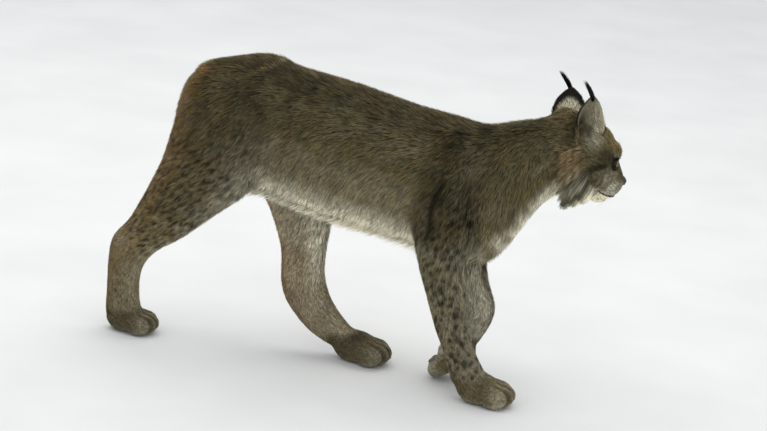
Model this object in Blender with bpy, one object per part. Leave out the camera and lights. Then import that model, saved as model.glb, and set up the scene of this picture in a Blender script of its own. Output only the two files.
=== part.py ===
"""A life-size Eurasian lynx in winter coat, walking, with its head turned to its left.

The lynx faces +X, its left side is +Y and the floor is z = 0. Each outer shape is the
outline of the coat. The trunk, neck, tail and legs are lofts through stations read from
the side outline, melted into one body by a voxel remesh and then parted by thin cuts.
The head is built in a frame of its own and turned into place.
"""

import math

import bmesh
import bpy
import numpy as np
from mathutils import Matrix
from mathutils.bvhtree import BVHTree

GAP = 0.0003  # between two nodes that meet
SIDES = 28  # points round a lofted form
LEFT = 1
RIGHT = -1

# Voxels and triangle budgets of the forms that a remesh melts together.
BODY_VOXEL = 0.006
PAW_VOXEL = 0.0032
HEAD_VOXEL = 0.0022
BODY_TRIANGLES = 4000
PAW_TRIANGLES = 460
HEAD_TRIANGLES = 3050

# The head's place: middle of the skull, and how far it is turned, nodded and tipped.
HEAD_CENTRE = (0.410, 0.083, 0.545)
HEAD_YAW = 32.5
HEAD_NOD = 18.0
HEAD_TIP = -6.0
HEAD_SCALE = 1.10

# Stations of a form: one outline point, the opposite one, the side offset, the half width
# and how far the station faces to the left. Points are (x, z) of the side view.
TRUNK = (
    ((-0.472, 0.610), (-0.424, 0.540), 0.000, 0.046, 0),
    ((-0.462, 0.640), (-0.412, 0.480), 0.000, 0.076, 0),
    ((-0.405, 0.664), (-0.398, 0.415), 0.000, 0.092, 0),
    ((-0.295, 0.691), (-0.300, 0.378), 0.000, 0.099, 0),
    ((-0.232, 0.673), (-0.245, 0.369), 0.000, 0.097, 0),
    ((-0.089, 0.655), (-0.090, 0.339), 0.000, 0.105, 0),
    ((0.051, 0.629), (0.055, 0.325), 0.000, 0.106, 0),
    ((0.145, 0.620), (0.190, 0.301), 0.000, 0.101, 0),
    ((0.205, 0.612), (0.262, 0.316), 0.000, 0.092, 3),
    ((0.262, 0.625), (0.313, 0.385), 0.010, 0.082, 10),
    ((0.312, 0.637), (0.343, 0.440), 0.028, 0.076, 20),
    ((0.350, 0.643), (0.372, 0.470), 0.054, 0.073, 30),
    ((0.392, 0.632), (0.404, 0.492), 0.080, 0.064, 30),
    ((0.430, 0.595), (0.434, 0.525), 0.100, 0.030, 30),
)
TAIL = (
    ((-0.440, 0.640), (-0.420, 0.590), 0.002, 0.028, 0),
    ((-0.491, 0.602), (-0.440, 0.568), 0.006, 0.029, 0),
    ((-0.516, 0.535), (-0.464, 0.528), 0.015, 0.028, 0),
    ((-0.520, 0.480), (-0.467, 0.478), 0.022, 0.028, 0),
    ((-0.514, 0.440), (-0.470, 0.438), 0.026, 0.024, 0),
    ((-0.502, 0.422), (-0.480, 0.422), 0.028, 0.012, 0),
)
HIND_RIGHT = (
    ((-0.430, 0.640), (-0.300, 0.655), -0.045, 0.012, 0),
    ((-0.468, 0.605), (-0.268, 0.625), -0.055, 0.036, 0),
    ((-0.483, 0.550), (-0.258, 0.560), -0.063, 0.049, 0),
    ((-0.494, 0.485), (-0.260, 0.475), -0.068, 0.054, 0),
    ((-0.511, 0.420), (-0.290, 0.388), -0.070, 0.050, 0),
    ((-0.551, 0.332), (-0.371, 0.314), -0.065, 0.040, 0),
    ((-0.585, 0.268), (-0.455, 0.240), -0.060, 0.033, 0),
    ((-0.622, 0.222), (-0.508, 0.204), -0.057, 0.028, 0),
    ((-0.631, 0.165), (-0.543, 0.158), -0.055, 0.025, 0),
    ((-0.630, 0.105), (-0.549, 0.105), -0.055, 0.024, 0),
    ((-0.629, 0.040), (-0.540, 0.048), -0.055, 0.027, 0),
)
HIND_LEFT = (
    ((-0.410, 0.635), (-0.285, 0.655), 0.045, 0.012, 0),
    ((-0.452, 0.600), (-0.245, 0.620), 0.055, 0.036, 0),
    ((-0.440, 0.535), (-0.220, 0.560), 0.063, 0.048, 0),
    ((-0.390, 0.455), (-0.180, 0.490), 0.068, 0.052, 0),
    ((-0.322, 0.365), (-0.140, 0.385), 0.066, 0.046, 0),
    ((-0.279, 0.295), (-0.139, 0.300), 0.060, 0.038, 0),
    ((-0.252, 0.225), (-0.143, 0.235), 0.055, 0.031, 0),
    ((-0.247, 0.158), (-0.140, 0.185), 0.052, 0.027, 0),
    ((-0.228, 0.108), (-0.122, 0.138), 0.050, 0.025, 0),
    ((-0.172, 0.053), (-0.092, 0.100), 0.048, 0.025, 0),
    ((-0.116, 0.026), (-0.050, 0.062), 0.047, 0.026, 0),
)
FORE_RIGHT = (
    ((0.120, 0.600), (0.190, 0.602), -0.045, 0.010, 0),
    ((0.100, 0.560), (0.220, 0.562), -0.056, 0.034, 0),
    ((0.088, 0.515), (0.238, 0.515), -0.064, 0.045, 0),
    ((0.082, 0.470), (0.245, 0.470), -0.070, 0.050, 0),
    ((0.086, 0.390), (0.246, 0.385), -0.075, 0.047, 0),
    ((0.110, 0.300), (0.216, 0.300), -0.074, 0.037, 0),
    ((0.133, 0.235), (0.230, 0.245), -0.071, 0.033, 0),
    ((0.163, 0.155), (0.239, 0.168), -0.069, 0.028, 0),
    ((0.190, 0.100), (0.258, 0.118), -0.068, 0.028, 0),
    ((0.214, 0.035), (0.290, 0.065), -0.067, 0.031, 0),
)
FORE_LEFT = (
    ((0.120, 0.600), (0.190, 0.602), 0.045, 0.010, 0),
    ((0.100, 0.560), (0.220, 0.562), 0.056, 0.034, 0),
    ((0.090, 0.515), (0.238, 0.515), 0.063, 0.045, 0),
    ((0.090, 0.470), (0.245, 0.470), 0.068, 0.050, 0),
    ((0.105, 0.390), (0.246, 0.385), 0.070, 0.046, 0),
    ((0.142, 0.300), (0.232, 0.290), 0.062, 0.035, 0),
    ((0.170, 0.240), (0.246, 0.232), 0.055, 0.030, 0),
    ((0.198, 0.190), (0.266, 0.186), 0.050, 0.027, 0),
    ((0.198, 0.160), (0.258, 0.140), 0.048, 0.026, 0),
    ((0.176, 0.124), (0.229, 0.088), 0.046, 0.026, 0),
    ((0.152, 0.087), (0.198, 0.055), 0.045, 0.025, 0),
    ((0.140, 0.062), (0.166, 0.044), 0.045, 0.012, 0),
)

# Paws: heel on the floor, side offset, heading, how far the toes are tipped down, size.
PAWS = {
    "fore_paw_right": ((0.226, 0.000), -0.067, 3, 0, 1.04),
    "fore_paw_left": ((0.203, 0.112), 0.045, 0, 135, 0.97),
    "hind_paw_right": ((-0.624, 0.000), -0.055, 3, 0, 0.97),
    "hind_paw_left": ((-0.103, 0.000), 0.047, 0, 0, 1.07),
}
PAW_LEG = {
    "fore_paw_right": FORE_RIGHT,
    "fore_paw_left": FORE_LEFT,
    "hind_paw_right": HIND_RIGHT,
    "hind_paw_left": HIND_LEFT,
}
TOE_SIDES = (-0.0315, -0.0110, 0.0110, 0.0315)
TOE_REACH = (0.088, 0.100, 0.100, 0.088)

# The head in its own frame, +X to the nose: place along it, top, bottom, half width.
SKULL = (
    (-0.096, 0.036, -0.036, 0.040),
    (-0.070, 0.064, -0.052, 0.060),
    (-0.035, 0.076, -0.060, 0.071),
    (-0.002, 0.081, -0.062, 0.073),
    (0.022, 0.080, -0.062, 0.070),
    (0.040, 0.071, -0.061, 0.063),
    (0.054, 0.054, -0.059, 0.053),
    (0.065, 0.039, -0.057, 0.043),
    (0.076, 0.026, -0.054, 0.036),
    (0.087, 0.014, -0.048, 0.029),
    (0.096, 0.003, -0.040, 0.021),
    (0.102, -0.007, -0.031, 0.010),
)
# Swellings of the face: centre and radii. Those off the middle line are made on both sides.
FACE_SWELLS = {
    "whisker_pad": ((0.073, 0.017, -0.023), (0.024, 0.021, 0.0185)),
    "chin": ((0.058, 0.000, -0.052), (0.027, 0.021, 0.017)),
    "brow": ((0.040, 0.028, 0.037), (0.027, 0.025, 0.027)),
    "cheek": ((-0.008, 0.046, -0.018), (0.052, 0.033, 0.044)),
    "nose_pad": ((0.097, 0.000, -0.010), (0.0105, 0.0150, 0.0110)),
    "lids": ((0.0520, 0.033, 0.018), (0.0155, 0.0155, 0.0150)),
    "ear_ruff": ((-0.050, 0.020, 0.050), (0.040, 0.036, 0.044)),
}
EYE = (0.0520, 0.033, 0.018)
EYE_RADIUS = 0.0125
EYE_TURN = 20  # how far each eye looks outwards
EYE_OPENING = (0.0103, 0.0074)  # half width and half height between the lids
MOUTH = (
    (0.041, 0.0460, -0.0420),
    (0.053, 0.0380, -0.0445),
    (0.066, 0.0300, -0.0455),
    (0.078, 0.0240, -0.0445),
    (0.088, 0.0165, -0.0425),
    (0.094, 0.0080, -0.0412),
    (0.0955, 0.000, -0.0410),
)
MOUTH_DEPTH = 0.005
MOUTH_HEIGHT = 0.0016
NOSTRIL = ((0.104, 0.0078, -0.011), (0.0060, 0.0028, 0.0034))

# Ears in the head frame: middle of the base, tip, way that the cup faces and tuft end.
EAR_BASE = (-0.018, 0.044, 0.046)
EAR_TIP = (-0.048, 0.063, 0.126)
EAR_FACES = 68
EAR_TUFT = (-0.083, 0.069, 0.152)
EAR_WIDTH = 0.0325
EAR_BOW = 0.006  # how far the ear bends back at its middle
EAR_CUP = 0.022
EAR_THICK = 0.004

# The cheek ruff in the head frame, from below the ear round the jaw to the throat: root,
# way that the lock runs, length and half width. It is made on both sides, in layers.
RUFF = (
    ((-0.050, 0.068, 0.018), (-0.80, 0.22, -0.56), 0.030, 0.0050),
    ((-0.044, 0.074, -0.004), (-0.62, 0.24, -0.75), 0.042, 0.0060),
    ((-0.034, 0.076, -0.024), (-0.42, 0.20, -0.88), 0.054, 0.0072),
    ((-0.018, 0.072, -0.040), (-0.24, 0.14, -0.96), 0.062, 0.0080),
    ((0.000, 0.062, -0.052), (-0.32, 0.10, -0.93), 0.046, 0.0074),
    ((0.018, 0.050, -0.060), (-0.55, 0.06, -0.83), 0.030, 0.0064),
    ((0.034, 0.036, -0.062), (-0.76, 0.02, -0.64), 0.022, 0.0054),
)
RUFF_LOCKS = 11
RUFF_LAYERS = ((0.0, 0.0, 1.0), (0.014, 0.010, 0.80))  # how far forward and up, and how long

# The tuft of each ear: locks fanned round its middle one.
TUFT_LOCKS = 6
TUFT_SPREAD = 0.0036

# The fringe of the belly: rows of locks under the trunk, between the legs of each side.
# A row is its side offset, where it starts and where it ends.
FRINGE_ROWS = (
    (-0.064, -0.225, 0.070),
    (-0.032, -0.225, 0.075),
    (0.000, -0.090, 0.080),
    (0.032, -0.080, 0.075),
    (0.064, -0.080, 0.070),
)
FRINGE_STEP = 0.0185
FRINGE_LENGTH = 0.048
FRINGE_HALF_WIDTH = 0.0120
FRINGE_WAY = (-0.80, 0.0, -0.60)

# The material of each kind of node: colour and roughness.
MATERIALS = {
    "torso": ("coat", (0.165, 0.125, 0.080), 0.85),
    "neck": ("coat", (0.165, 0.125, 0.080), 0.85),
    "head": ("face_coat", (0.190, 0.150, 0.100), 0.85),
    "tail": ("tail_coat", (0.105, 0.080, 0.055), 0.85),
    "ear": ("ear_coat", (0.060, 0.055, 0.050), 0.85),
    "eye": ("eye", (0.320, 0.190, 0.050), 0.15),
    "fore": ("leg_coat", (0.210, 0.165, 0.115), 0.85),
    "hind": ("leg_coat", (0.210, 0.165, 0.115), 0.85),
}

# Planes that part the nodes: two (x, z) points of each in the side view.
NECK_BASE = ((0.178, 0.700), (0.262, 0.250))
HEAD_BASE = ((0.333, 0.042, 0.550), 28, -8)  # point, heading and nod of the plane
TAIL_PART = ((-0.535, 0.602), (-0.453, 0.556), (-0.462, 0.380), (-0.580, 0.380))
TAIL_SIDES = (-0.016, 0.070)
LEG_TOPS = {
    "fore_leg_right": ((0.040, 0.304), (0.280, 0.270)),
    "fore_leg_left": ((0.040, 0.304), (0.280, 0.270)),
    "hind_leg_right": ((-0.600, 0.424), (-0.350, 0.381)),
    "hind_leg_left": ((-0.360, 0.366), (-0.085, 0.316)),
}
LEG_ENDS = {
    "fore_leg_right": ((0.150, 0.066), (0.310, 0.090)),
    "fore_leg_left": ((0.139, 0.190), (0.271, 0.040)),
    "hind_leg_right": ((-0.680, 0.072), (-0.480, 0.072)),
    "hind_leg_left": ((-0.200, 0.010), (-0.040, 0.112)),
}


def clear_scene():
    for old in list(bpy.data.objects):
        bpy.data.objects.remove(old)


def material(name, colour, roughness):
    made = bpy.data.materials.new(name)
    made.use_nodes = True
    shader = made.node_tree.nodes["Principled BSDF"]
    shader.inputs["Base Color"].default_value = (*colour, 1)
    shader.inputs["Roughness"].default_value = roughness
    shader.inputs["Metallic"].default_value = 0
    return made


def mesh_object(name, points, faces):
    mesh = bpy.data.meshes.new(name)
    mesh.from_pydata([tuple(map(float, p)) for p in points], [], faces)
    mesh.update()
    made = bpy.data.objects.new(name, mesh)
    bpy.context.scene.collection.objects.link(made)
    return made


def through(values, count):
    """Rows of numbers, read at count even steps along a smooth curve through them."""
    rows = np.asarray(values, float)
    padded = np.vstack([2 * rows[0] - rows[1], rows, 2 * rows[-1] - rows[-2]])
    place = np.linspace(0, len(rows) - 1, count)
    start = np.minimum(place.astype(int), len(rows) - 2)
    t = (place - start)[:, None]
    before, a, b, after = (padded[start + k] for k in range(4))
    slope_a, slope_b = (b - before) / 2, (after - a) / 2
    return (
        (2 * t**3 - 3 * t**2 + 1) * a
        + (t**3 - 2 * t**2 + t) * slope_a
        + (3 * t**2 - 2 * t**3) * b
        + (t**3 - t**2) * slope_b
    )


def ring_faces(rings, sides):
    """Quads between closed rings of points, and a flat cap on each end."""
    faces = [
        (r * sides + k, r * sides + (k + 1) % sides, (r + 1) * sides + (k + 1) % sides, (r + 1) * sides + k)
        for r in range(rings - 1)
        for k in range(sides)
    ]
    last = (rings - 1) * sides
    return [*faces, tuple(reversed(range(sides))), tuple(range(last, last + sides))]


def facing_out(made):
    """Turns the faces of a closed mesh outwards."""
    shape = bmesh.new()
    shape.from_mesh(made.data)
    bmesh.ops.recalc_face_normals(shape, faces=shape.faces)
    if shape.calc_volume(signed=True) < 0:
        bmesh.ops.reverse_faces(shape, faces=shape.faces)
    shape.to_mesh(made.data)
    shape.free()
    return made


def body_loft(name, stations, rings=40):
    """A form through side-view stations: each ring is an ellipse between two outline points."""
    rows = through([(*a, *b, y, w, yaw) for a, b, y, w, yaw in stations], rings)
    turn = np.linspace(0, 2 * math.pi, SIDES, endpoint=False)
    points = []
    for ax, az, bx, bz, y, width, yaw in rows:
        heading = math.radians(yaw)
        centre = np.array([(ax + bx) / 2, y, (az + bz) / 2])
        lean, half = (ax - bx) / 2, (az - bz) / 2
        upright = np.array([lean * math.cos(heading), lean * math.sin(heading), half])
        side = np.array([-math.sin(heading), math.cos(heading), 0]) * width
        points.extend(centre + math.cos(t) * upright + math.sin(t) * side for t in turn)
    return facing_out(mesh_object(name, points, ring_faces(rings, SIDES)))


def ellipsoid(name, centre, radii, turn=None, segments=24):
    """A sphere stretched to three radii, turned and set in place."""
    shape = bmesh.new()
    bmesh.ops.create_uvsphere(shape, u_segments=segments, v_segments=segments // 2, radius=1)
    place = Matrix.Translation(centre) @ (turn or Matrix()) @ Matrix.Diagonal((*radii, 1))
    bmesh.ops.transform(shape, matrix=place, verts=shape.verts)
    mesh = bpy.data.meshes.new(name)
    shape.to_mesh(mesh)
    shape.free()
    made = bpy.data.objects.new(name, mesh)
    bpy.context.scene.collection.objects.link(made)
    return facing_out(made)


def settle(made):
    """Applies an object's modifiers."""
    graph = bpy.context.evaluated_depsgraph_get()
    mesh = bpy.data.meshes.new_from_object(made.evaluated_get(graph))
    made.modifiers.clear()
    made.data = mesh
    return made


def joined(name, pieces):
    """One object that holds the meshes of all the pieces, which are removed."""
    shape = bmesh.new()
    for piece in pieces:
        piece.data.transform(piece.matrix_basis)
        shape.from_mesh(piece.data)
        bpy.data.objects.remove(piece)
    mesh = bpy.data.meshes.new(name)
    shape.to_mesh(mesh)
    shape.free()
    made = bpy.data.objects.new(name, mesh)
    bpy.context.scene.collection.objects.link(made)
    return made


def melted(name, pieces, voxel, rounds, triangles):
    """The pieces as one smooth skin: a voxel remesh, smoothing, then fewer triangles."""
    made = joined(name, pieces)
    remesh = made.modifiers.new("Melt", "REMESH")
    remesh.mode = "VOXEL"
    remesh.voxel_size = voxel
    smooth = made.modifiers.new("Smooth", "SMOOTH")
    smooth.factor = 0.5
    smooth.iterations = rounds
    settle(made)
    made.data.calc_loop_triangles()
    fewer = made.modifiers.new("Fewer", "DECIMATE")
    fewer.ratio = triangles / len(made.data.loop_triangles)
    return settle(made)


def largest_shell(made):
    """Keeps only the closed surface with the most volume."""
    shape = bmesh.new()
    shape.from_mesh(made.data)
    bmesh.ops.triangulate(shape, faces=shape.faces)
    left, shells = set(shape.verts), []
    while left:
        shell, edge = set(), [left.pop()]
        while edge:
            vert = edge.pop()
            shell.add(vert)
            near = {e.other_vert(vert) for e in vert.link_edges} & left
            left -= near
            edge.extend(near)
        shells.append(shell)

    def volume(shell):
        faces = {f for v in shell for f in v.link_faces}
        return sum(
            f.verts[0].co.dot(f.verts[1].co.cross(f.verts[2].co)) for f in faces
        )

    keep = max(shells, key=volume)
    bmesh.ops.delete(shape, geom=[v for v in shape.verts if v not in keep], context="VERTS")
    shape.to_mesh(made.data)
    shape.free()
    return made


def boolean(made, operation, others, solver="EXACT"):
    """Joins or cuts with a collection of closed meshes, which are then removed."""
    group = bpy.data.collections.new(made.name + "_others")
    for other in others:
        group.objects.link(other)
    cut = made.modifiers.new("Boolean", "BOOLEAN")
    cut.operation = operation
    cut.operand_type = "COLLECTION"
    cut.collection = group
    cut.solver = solver
    settle(made)
    for other in others:
        bpy.data.objects.remove(other)
    bpy.data.collections.remove(group)
    return made


def kept_inside(made, box):
    """Keeps what lies inside one closed mesh, which is then removed."""
    cut = made.modifiers.new("Boolean", "BOOLEAN")
    cut.operation = "INTERSECT"
    cut.object = box
    cut.solver = "EXACT"
    settle(made)
    bpy.data.objects.remove(box)
    return largest_shell(made)


def copy_of(made, name):
    twin = bpy.data.objects.new(name, made.data.copy())
    bpy.context.scene.collection.objects.link(twin)
    return twin


def slab(name, cut, y_range, depth, shift=0.0):
    """A box under a cut line of the side view. A positive shift moves the cut upwards."""
    a, b = (np.array([x, z]) for x, z in cut)
    along = (b - a) / np.linalg.norm(b - a)
    a, b = a - along * 0.1, b + along * 0.1
    down = np.array([along[1], -along[0]])
    corners = [a - down * shift, b - down * shift, b + down * depth, a + down * depth]
    points = [(x, y, z) for y in y_range for x, z in corners]
    return facing_out(mesh_object(name, points, ring_faces(2, 4)))


def prism(name, outline, y_range):
    """A side-view outline drawn out between two side offsets."""
    points = [(x, y, z) for y in y_range for x, z in outline]
    return facing_out(mesh_object(name, points, ring_faces(2, len(outline))))


def box(name, low, high):
    points = [(x, y, z) for z in (low[2], high[2]) for x, y in
              ((low[0], low[1]), (high[0], low[1]), (high[0], high[1]), (low[0], high[1]))]
    return facing_out(mesh_object(name, points, ring_faces(2, 4)))


def side_range(name):
    """The half of the body that holds a leg, wide of it on the outside."""
    return (0.0, 0.3) if name.endswith("left") else (-0.3, 0.0)


def body_form():
    pieces = [
        body_loft("trunk", TRUNK, 60),
        body_loft("tail_form", TAIL),
        body_loft("hind_right", HIND_RIGHT),
        body_loft("hind_left", HIND_LEFT),
        body_loft("fore_right", FORE_RIGHT),
        body_loft("fore_left", FORE_LEFT),
    ]
    return melted("body", pieces, BODY_VOXEL, 10, BODY_TRIANGLES)


def paw_form(name):
    """Palm, four toes and the end of the leg, in one skin, flat where it meets the floor."""
    (heel_x, heel_z), side, heading, tip, size = PAWS[name]
    pieces = [ellipsoid("palm", (0.048, 0, 0.031), (0.050, 0.038, 0.036))]
    for y, reach in zip(TOE_SIDES, TOE_REACH, strict=True):
        pieces.append(ellipsoid("toe", (reach, y, 0.024), (0.030, 0.0150, 0.0245)))
        pieces.append(ellipsoid("knuckle", (reach - 0.026, y * 0.9, 0.034), (0.026, 0.0145, 0.021)))
    place = (
        Matrix.Translation((heel_x, side, heel_z))
        @ Matrix.Rotation(math.radians(heading), 4, "Z")
        @ Matrix.Rotation(math.radians(tip), 4, "Y")
        @ Matrix.Scale(size, 4)
    )
    for piece in pieces:
        piece.data.transform(place)
    pieces.append(body_loft("ankle", PAW_LEG[name][-4:], 20))
    made = melted(name, pieces, PAW_VOXEL, 3, PAW_TRIANGLES)
    return boolean(made, "DIFFERENCE", [box("floor", (-1, -1, -0.2), (1, 1, 0.0))])


def turned(centre, yaw, nod=0, tip=0, scale=1):
    """A frame at a point: turned to the left, nodded down and tipped, in degrees."""
    return (
        Matrix.Translation(centre)
        @ Matrix.Rotation(math.radians(yaw), 4, "Z")
        @ Matrix.Rotation(math.radians(nod), 4, "Y")
        @ Matrix.Rotation(math.radians(tip), 4, "X")
        @ Matrix.Scale(scale, 4)
    )


def head_side(name, shift):
    """A box over everything in front of the cut between neck and head."""
    block = box(name, (-shift, -0.2, -0.3), (0.5, 0.3, 0.3))
    block.data.transform(turned(*HEAD_BASE))
    return block


def parted_body():
    """The torso, neck, tail and legs, cut from one form."""
    body = body_form()
    wide = (-0.3, 0.3)
    cuts, nodes = [], []
    for name, top in LEG_TOPS.items():
        leg = copy_of(body, name)
        kept_inside(leg, slab("keep", top, side_range(name), 0.5, -GAP / 2))
        paw_cut = slab("paw_cut", LEG_ENDS[name], side_range(name), 0.3, GAP / 2)
        nodes.append(largest_shell(boolean(leg, "DIFFERENCE", [paw_cut])))
        cuts.append(slab("leg_cut", top, side_range(name), 0.5, GAP / 2))
    tail = kept_inside(copy_of(body, "tail"), prism("keep", TAIL_PART, TAIL_SIDES))
    grown = [(x + GAP * way, z + GAP) for (x, z), way in zip(TAIL_PART, (-1, 1, 1, -1), strict=True)]
    cuts.append(prism("tail_cut", grown, (TAIL_SIDES[0] - GAP, TAIL_SIDES[1] + GAP)))
    neck = kept_inside(copy_of(body, "neck"), slab("keep", NECK_BASE[::-1], wide, 0.5, -GAP / 2))
    neck = largest_shell(boolean(neck, "DIFFERENCE", [head_side("head_cut", GAP / 2)]))
    cuts.append(slab("neck_cut", NECK_BASE[::-1], wide, 0.5, GAP / 2))
    torso = largest_shell(boolean(copy_of(body, "torso"), "DIFFERENCE", cuts))
    bpy.data.objects.remove(body)
    locks = fringe_locks(surface_of(torso), np.random.default_rng(3))
    largest_shell(boolean(torso, "UNION", locks))
    return [torso, neck, tail, *nodes]


def parted_paws():
    nodes = []
    for name in PAWS:
        end = LEG_ENDS[name.replace("paw", "leg")]
        nodes.append(kept_inside(paw_form(name), slab("keep", end, side_range(name), 0.3, -GAP / 2)))
    return nodes


def mirrored(point, side):
    return (point[0], point[1] * side, point[2])


def lock(name, path, widths, thick, flat_way, rings=6):
    """A flat tapered lock along a smooth path, diamond in section, with a pointed tip."""
    spine = through(path, rings)
    wide = through(np.array(widths)[:, None], rings)[:, 0]
    points = []
    for k in range(rings - 1):
        along = spine[min(k + 1, rings - 1)] - spine[max(k - 1, 0)]
        along /= np.linalg.norm(along)
        across = np.cross(along, flat_way)
        across /= np.linalg.norm(across)
        out = np.cross(across, along)
        deep = thick * wide[k] / wide[0]
        points += [spine[k] + across * wide[k], spine[k] + out * deep]
        points += [spine[k] - across * wide[k], spine[k] - out * deep]
    faces = ring_faces(rings - 1, 4)[:-1]
    last = 4 * (rings - 2)
    points.append(spine[-1])
    faces += [(last + k, last + (k + 1) % 4, len(points) - 1) for k in range(4)]
    return facing_out(mesh_object(name, points, faces))


def mouth_cutter():
    """A plate along the line of the mouth, from one corner round the front to the other."""
    half = through(MOUTH, 12)
    line = np.vstack([half[:-1], half[::-1] * (1, -1, 1)])
    along = np.gradient(line, axis=0)
    outward = np.stack([-along[:, 1], along[:, 0], np.zeros(len(line))], axis=1)
    outward /= -np.linalg.norm(outward, axis=1)[:, None]
    up = np.array([0, 0, MOUTH_HEIGHT / 2])
    points = []
    for p, out in zip(line, outward, strict=True):
        inner, outer = p - out * MOUTH_DEPTH, p + out * 0.015
        points += [inner + up, outer + up, outer - up, inner - up]
    return facing_out(mesh_object("mouth_cut", points, ring_faces(len(line), 4)))


def lid_opening(side):
    """An almond drawn out along the way that an eye looks."""
    half_width, half_height = EYE_OPENING
    turn = np.linspace(0, 2 * math.pi, 20, endpoint=False)
    y = half_width * np.cos(turn)
    z = half_height * np.sin(turn) * np.abs(np.sin(turn)) ** 0.35
    points = [(x, b, c) for x in (0.006, 0.040) for b, c in zip(y, z, strict=True)]
    cutter = facing_out(mesh_object("lid_cut", points, ring_faces(2, len(turn))))
    cutter.data.transform(turned(mirrored(EYE, side), EYE_TURN * side, -6, 12 * side))
    return cutter


def skull_form(place):
    """The head without its ears and ruff, melted with the last of the neck."""
    turn = np.linspace(0, 2 * math.pi, 36, endpoint=False)
    rows = through(SKULL, 30)
    points = [
        (x, width * math.sin(t), (top + low) / 2 + (top - low) / 2 * math.cos(t))
        for x, top, low, width in rows
        for t in turn
    ]
    pieces = [facing_out(mesh_object("skull", points, ring_faces(len(rows), len(turn))))]
    for name, (centre, radii) in FACE_SWELLS.items():
        for side in (LEFT, RIGHT) if centre[1] else (LEFT,):
            pieces.append(ellipsoid(name, mirrored(centre, side), radii))
    for piece in pieces:
        piece.data.transform(place)
    pieces.append(body_loft("nape", TRUNK[-6:], 30))
    return melted("head", pieces, HEAD_VOXEL, 12, HEAD_TRIANGLES)


def ear_form(name, side):
    """A cupped shell: arcs of a funnel that opens towards the tip, and its tuft."""
    base, tip = (np.array(mirrored(p, side)) for p in (EAR_BASE, EAR_TIP))
    axis = (tip - base) / np.linalg.norm(tip - base)
    facing = np.array([math.cos(math.radians(EAR_FACES)), side * math.sin(math.radians(EAR_FACES)), 0])
    facing -= axis * axis.dot(facing)
    facing /= np.linalg.norm(facing)
    across = np.cross(axis, facing)
    heights = np.array([-0.16, 0.0, 0.16, 0.34, 0.52, 0.70, 0.85, 0.95, 1.0])
    columns = 9
    shells = []
    for extra in (0.0, EAR_THICK):
        for v in heights:
            up = max(v, 0.0)
            sweep = math.radians(118 - 68 * up)
            wide = EAR_WIDTH * (1 - 0.90 * up**4)
            cup = EAR_CUP * (1 - 0.82 * up**1.3)
            wide /= min(1.0, math.sin(min(sweep, math.pi / 2)))
            centre = base + (tip - base) * v + across * side * EAR_BOW * math.sin(math.pi * up)
            for t in np.linspace(-sweep, sweep, columns):
                shells.append(
                    centre
                    + across * math.sin(t) * (wide + extra)
                    - facing * ((cup + extra) * math.cos(t) - cup * 0.4)
                )
    rows, step = len(heights), len(heights) * columns
    faces = []
    for r in range(rows - 1):
        for c in range(columns - 1):
            a = r * columns + c
            faces.append((a, a + 1, a + 1 + columns, a + columns))
            faces.append((step + a, step + a + columns, step + a + 1 + columns, step + a + 1))
        for a in (r * columns, r * columns + columns - 1):
            faces.append((a, a + columns, step + a + columns, step + a))
    for row in (0, rows - 1):
        for c in range(columns - 1):
            a = row * columns + c
            faces.append((a, a + 1, step + a + 1, step + a))
    ear = facing_out(mesh_object(name, shells, faces))
    end = np.array(mirrored(EAR_TUFT, side))
    tuft = []
    for k in range(TUFT_LOCKS + 1):
        turn = 2 * math.pi * k / TUFT_LOCKS
        fan = across * math.cos(turn) + facing * math.sin(turn)
        fan = fan * TUFT_SPREAD * (k > 0)
        length = 1.0 if k == 0 else 0.60 + 0.30 * ((k * 5) % TUFT_LOCKS) / TUFT_LOCKS
        bend = tip + (end - tip) * 0.45 * length + axis * 0.006 + fan * 0.9
        over = tip + (end - tip) * length + fan * 1.2
        path = [tip - axis * 0.014 + fan * 0.1, tip + fan * 0.45, bend, over]
        tuft.append(lock("tuft", path, (0.0038, 0.0042, 0.0030, 0.0004), 0.0026, facing, 5))
    return boolean(ear, "UNION", tuft)


def surface_of(made):
    """Looks up the nearest point and outward way on a mesh."""
    shape = bmesh.new()
    shape.from_mesh(made.data)
    tree = BVHTree.FromBMesh(shape)
    shape.free()
    return tree


def lock_on(place, way, length, half_width, lift, rings=6):
    """A lock that leaves a surface at a low angle: its root sunk, its tip standing off.
    The place is a point of the surface and the way out from it."""
    spot, out = (np.array(v) for v in place[:2])
    way = np.array(way) / np.linalg.norm(way)
    low = way - out * way.dot(out)
    low /= np.linalg.norm(low)
    path = [
        spot - low * 0.012 - out * 0.006,
        spot + low * length * 0.22 + out * 0.0015,
        spot + (low * 0.45 + way * 0.55) * length * 0.62 + out * lift * 0.7,
        spot + (low * 0.25 + way * 0.75) * length + out * lift,
    ]
    widths = (half_width * 0.75, half_width, half_width * 0.72, half_width * 0.06)
    return lock("lock", path, widths, half_width * 0.42, out, rings)


def ruff_locks(surface, side, chance):
    """The cheek ruff of one side, in the head frame: layers of locks along the jaw."""
    table = through([(*root, *way, length, width) for root, way, length, width in RUFF], 60)
    locks = []
    for forward, up, part in RUFF_LAYERS:
        for k in range(RUFF_LOCKS):
            place = (k + 0.5 + chance.uniform(-0.25, 0.25) + (0.5 if forward else 0)) / (RUFF_LOCKS + 0.6)
            row = table[min(int(place * 59), 59)]
            root = (row[0] + forward, row[1] * side, row[2] + up)
            way = row[3:6] * (1, side, 1) + chance.uniform(-0.10, 0.10, 3)
            length = row[6] * part * chance.uniform(0.82, 1.12)
            spot = surface.find_nearest(root)
            locks.append(lock_on(spot, way, length, row[7], 0.004 + 0.10 * length))
    return locks


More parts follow.
